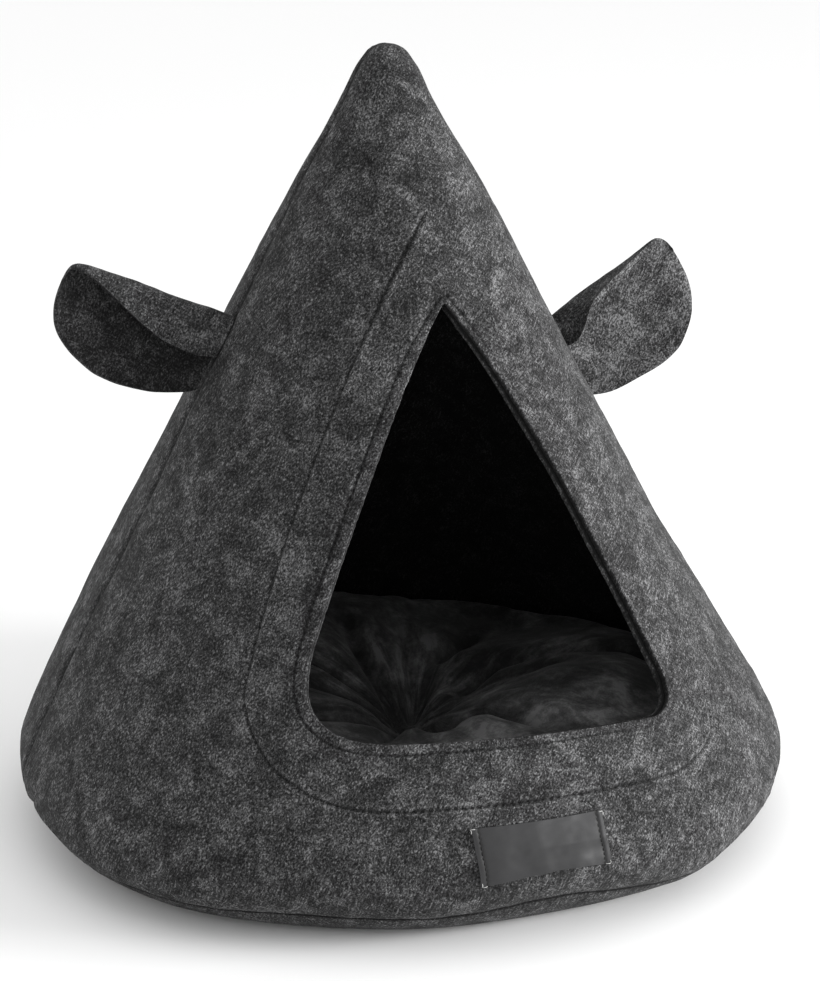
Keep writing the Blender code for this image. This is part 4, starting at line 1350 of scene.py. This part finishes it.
def puff_up(thing):
    """Fills the cushion: its cover is blown up as cloth, held at the tuft, the seam and the underside."""
    modify(thing, "Even cover", "REMESH", mode="VOXEL", voxel_size=CUSHION_VOXEL)
    before = points_of(thing)
    near_tuft = (np.hypot(*from_tuft(before)) < HELD_AT_TUFT) & (before[:, 2] > CUSHION_SECTION[0][1] / 2)
    at_seam = np.hypot(before[:, 0], before[:, 1]) > CUSHION_RADIUS - HELD_AT_SEAM
    below = before[:, 2] < CUSHION_UNDERSIDE + 0.001
    held = thing.vertex_groups.new(name="held")
    held.add(np.flatnonzero(near_tuft | at_seam | below).tolist(), 1.0, "REPLACE")
    cloth = thing.modifiers.new("Filled cover", "CLOTH")
    put(cloth.settings, **CUSHION_CLOTH)
    cloth.settings.effector_weights.gravity = 0.0
    cloth.collision_settings.use_collision = False
    for number in range(1, CUSHION_FRAMES + 1):
        bpy.context.scene.frame_set(number)
    bpy.ops.object.modifier_apply(modifier=cloth.name)
    bpy.context.scene.frame_set(1)
    moved = points_of(thing) - before
    far = np.linalg.norm(moved, axis=1)[:, None]
    after = before + moved * (CUSHION_MOST_MOVE * np.tanh(far / CUSHION_MOST_MOVE) / np.maximum(far, 1e-9))
    after[:, 2] = np.maximum(after[:, 2], CUSHION_UNDERSIDE)
    set_points(thing, after)
    thing.vertex_groups.clear()


def gather_to_tuft(thing):
    """Draws fine puckers into the cover round the tuft and slack ripples over the top, and marks painted shade in the
    puckers and folds.
    """
    places = points_of(thing)
    flat = places[:, :2]
    across, back = from_tuft(places)
    radius, azimuth = np.hypot(across, back), np.arctan2(across, -back)
    on_top = ease((places[:, 2] - TOP_HEIGHT) / TOP_HEIGHT_FADE)
    on_top *= 1 - ease((np.hypot(*flat.T) - TOP_RADIUS) / TOP_RADIUS_FADE)
    puckered = np.abs(np.sin(GATHER_FOLDS * azimuth + GATHER_STRAY * waver(flat, 18.0, 1.0))) ** 0.7
    reach = hump(radius - GATHER_RADIUS, GATHER_REACH)
    folds = fold_drop(flat, CREASE_WIDTH_SHARE)
    drop = GATHER_DEPTH * (1 - puckered) * reach + CREASE_DEPTH_SHARE * folds
    drop += RIPPLE_DEPTH * waver(flat, 55.0, 4.0) + TUFT_DENT * hump(radius, TUFT_DENT_REACH)
    places[:, 2] -= drop * on_top
    set_points(thing, places)
    # painted shade in the puckers round the tuft and in the folds
    mark(thing.data, "pressed", on_top * ((1 - puckered) ** 2 * reach * 0.7 + np.minimum(70.0 * folds, 1.0)))


def brush_pile(thing):
    """Marks the way that the pile lies, in streaks that run out from the tuft."""
    across, back = from_tuft(points_of(thing))
    radius = np.maximum(np.hypot(across, back), 1e-6)
    ways = np.column_stack([across / radius * PILE_STREAKS, back / radius * PILE_STREAKS, radius * PILE_LENGTHS])
    mark(thing.data, "brushed", ways, "FLOAT_VECTOR", "vector")


def cushion_piping(material):
    """Narrow sewn edge round the cushion where its top and underside meet."""
    azimuths = full_turn(PIPING_STEPS)
    middle = CUSHION_SEAM_HEIGHT + PIPING_WAVE * np.sin(9 * azimuths) * np.sin(4 * azimuths + 1.0)
    rings = []
    for turn in full_turn(PIPING_SIDES):
        radius = CUSHION_RADIUS - PIPING_INSET + PIPING_HALF_WIDTH * cos(turn)
        rings.append(np.column_stack([ring_at(radius, azimuths), middle + PIPING_HALF_HEIGHT * sin(turn)]))
    faces = patch(closed(point_numbers(len(rings), len(azimuths))), rings=True)
    return make_piece("cushion_seam", np.vstack(rings), faces, material, smooth_angle=80.0)


class CATCAVE_OT_cushion(bpy.types.Operator):
    """Fill the round plush cushion"""

    bl_idname = "catcave.cushion"
    bl_label = "Plush Cushion"

    def execute(self, context):
        plush = plush_material()
        thing = cushion_form(plush)
        puff_up(thing)
        modify(thing, "Fine cover", "SUBSURF", levels=1, render_levels=1)
        gather_to_tuft(thing)
        thing.data.shade_smooth()
        seam = cushion_piping(plush)
        for piece, cad_names in ((thing, ["cushion"]), (seam, [])):
            brush_pile(piece)
            finish_piece(piece, "dark_plush", *cad_names)
        return {"FINISHED"}


# ---- Stage ----
def aimed(name, data, at, target):
    """A light or camera at a place, turned towards a target."""
    way = (Vector(target) - Vector(at)).to_track_quat("-Z", "Y")
    return put(place_object(name, data), location=at, rotation_mode="QUATERNION", rotation_quaternion=way)


class CATCAVE_OT_stage(bpy.types.Operator):
    """Set the pale floor, the soft studio light and the camera"""

    bl_idname = "catcave.stage"
    bl_label = "Floor, Light and Camera"

    def execute(self, context):
        mesh = bpy.data.meshes.new("pale_floor")
        corners = ((-1, -1), (1, -1), (1, 1), (-1, 1))
        mesh.from_pydata([(x * FLOOR_HALF, y * FLOOR_HALF, FLOOR_HEIGHT) for x, y in corners], [], [(0, 1, 2, 3)])
        pale = surface("Pale floor", 0.9)
        pale.node_tree.nodes["Principled BSDF"].inputs["Base Color"].default_value = FLOOR_COLOUR
        mesh.materials.append(pale)
        place_object("pale_floor", mesh)
        scene = context.scene
        scene.world = scene.world or bpy.data.worlds.new("Studio")
        scene.world.use_nodes = True
        background = scene.world.node_tree.nodes.get("Background")
        background.inputs["Color"].default_value = (1.0, 1.0, 1.0, 1.0)
        background.inputs["Strength"].default_value = 1.0
        scene.view_settings.view_transform = "Standard"
        lamp = put(bpy.data.lights.new("Key light", "AREA"), shape="SQUARE", size=KEY_SIZE, energy=KEY_WATTS)
        aimed("Key light", lamp, KEY_AT, KEY_TARGET)
        camera = put(bpy.data.cameras.new("Camera"), sensor_fit="HORIZONTAL", sensor_width=SENSOR_MM,
                     lens=CAMERA_LENS_MM)
        camera.dof.use_dof = False
        scene.camera = aimed("Camera", camera, CAMERA_AT, CAMERA_TARGET)
        return {"FINISHED"}


class CATCAVE_PT_panel(bpy.types.Panel):
    """Settings and steps of the cat cave"""

    bl_label = "Cat Cave"
    bl_idname = "CATCAVE_PT_panel"
    bl_space_type = "VIEW_3D"
    bl_region_type = "UI"
    bl_category = "Cat Cave"

    def draw(self, context):
        column = self.layout.column()
        for name in CaveSettings.__annotations__:
            column.prop(context.scene.cat_cave, name)
        for step in STEPS:
            column.operator(step.bl_idname)


STEPS = (
    CATCAVE_OT_walls, CATCAVE_OT_stitching, CATCAVE_OT_ears, CATCAVE_OT_label, CATCAVE_OT_cushion, CATCAVE_OT_stage,
)
CLASSES = (CaveSettings, *STEPS, CATCAVE_PT_panel)


def register():
    for kind in CLASSES:
        bpy.utils.register_class(kind)
    bpy.types.Scene.cat_cave = bpy.props.PointerProperty(type=CaveSettings)


def unregister():
    del bpy.types.Scene.cat_cave
    for kind in reversed(CLASSES):
        bpy.utils.unregister_class(kind)


def main():
    register()
    bpy.ops.catcave.walls()
    bpy.ops.catcave.stitching()
    bpy.ops.catcave.ears()
    bpy.ops.catcave.label()
    bpy.ops.catcave.cushion()
    bpy.ops.catcave.stage()


if __name__ == "__main__":
    main()
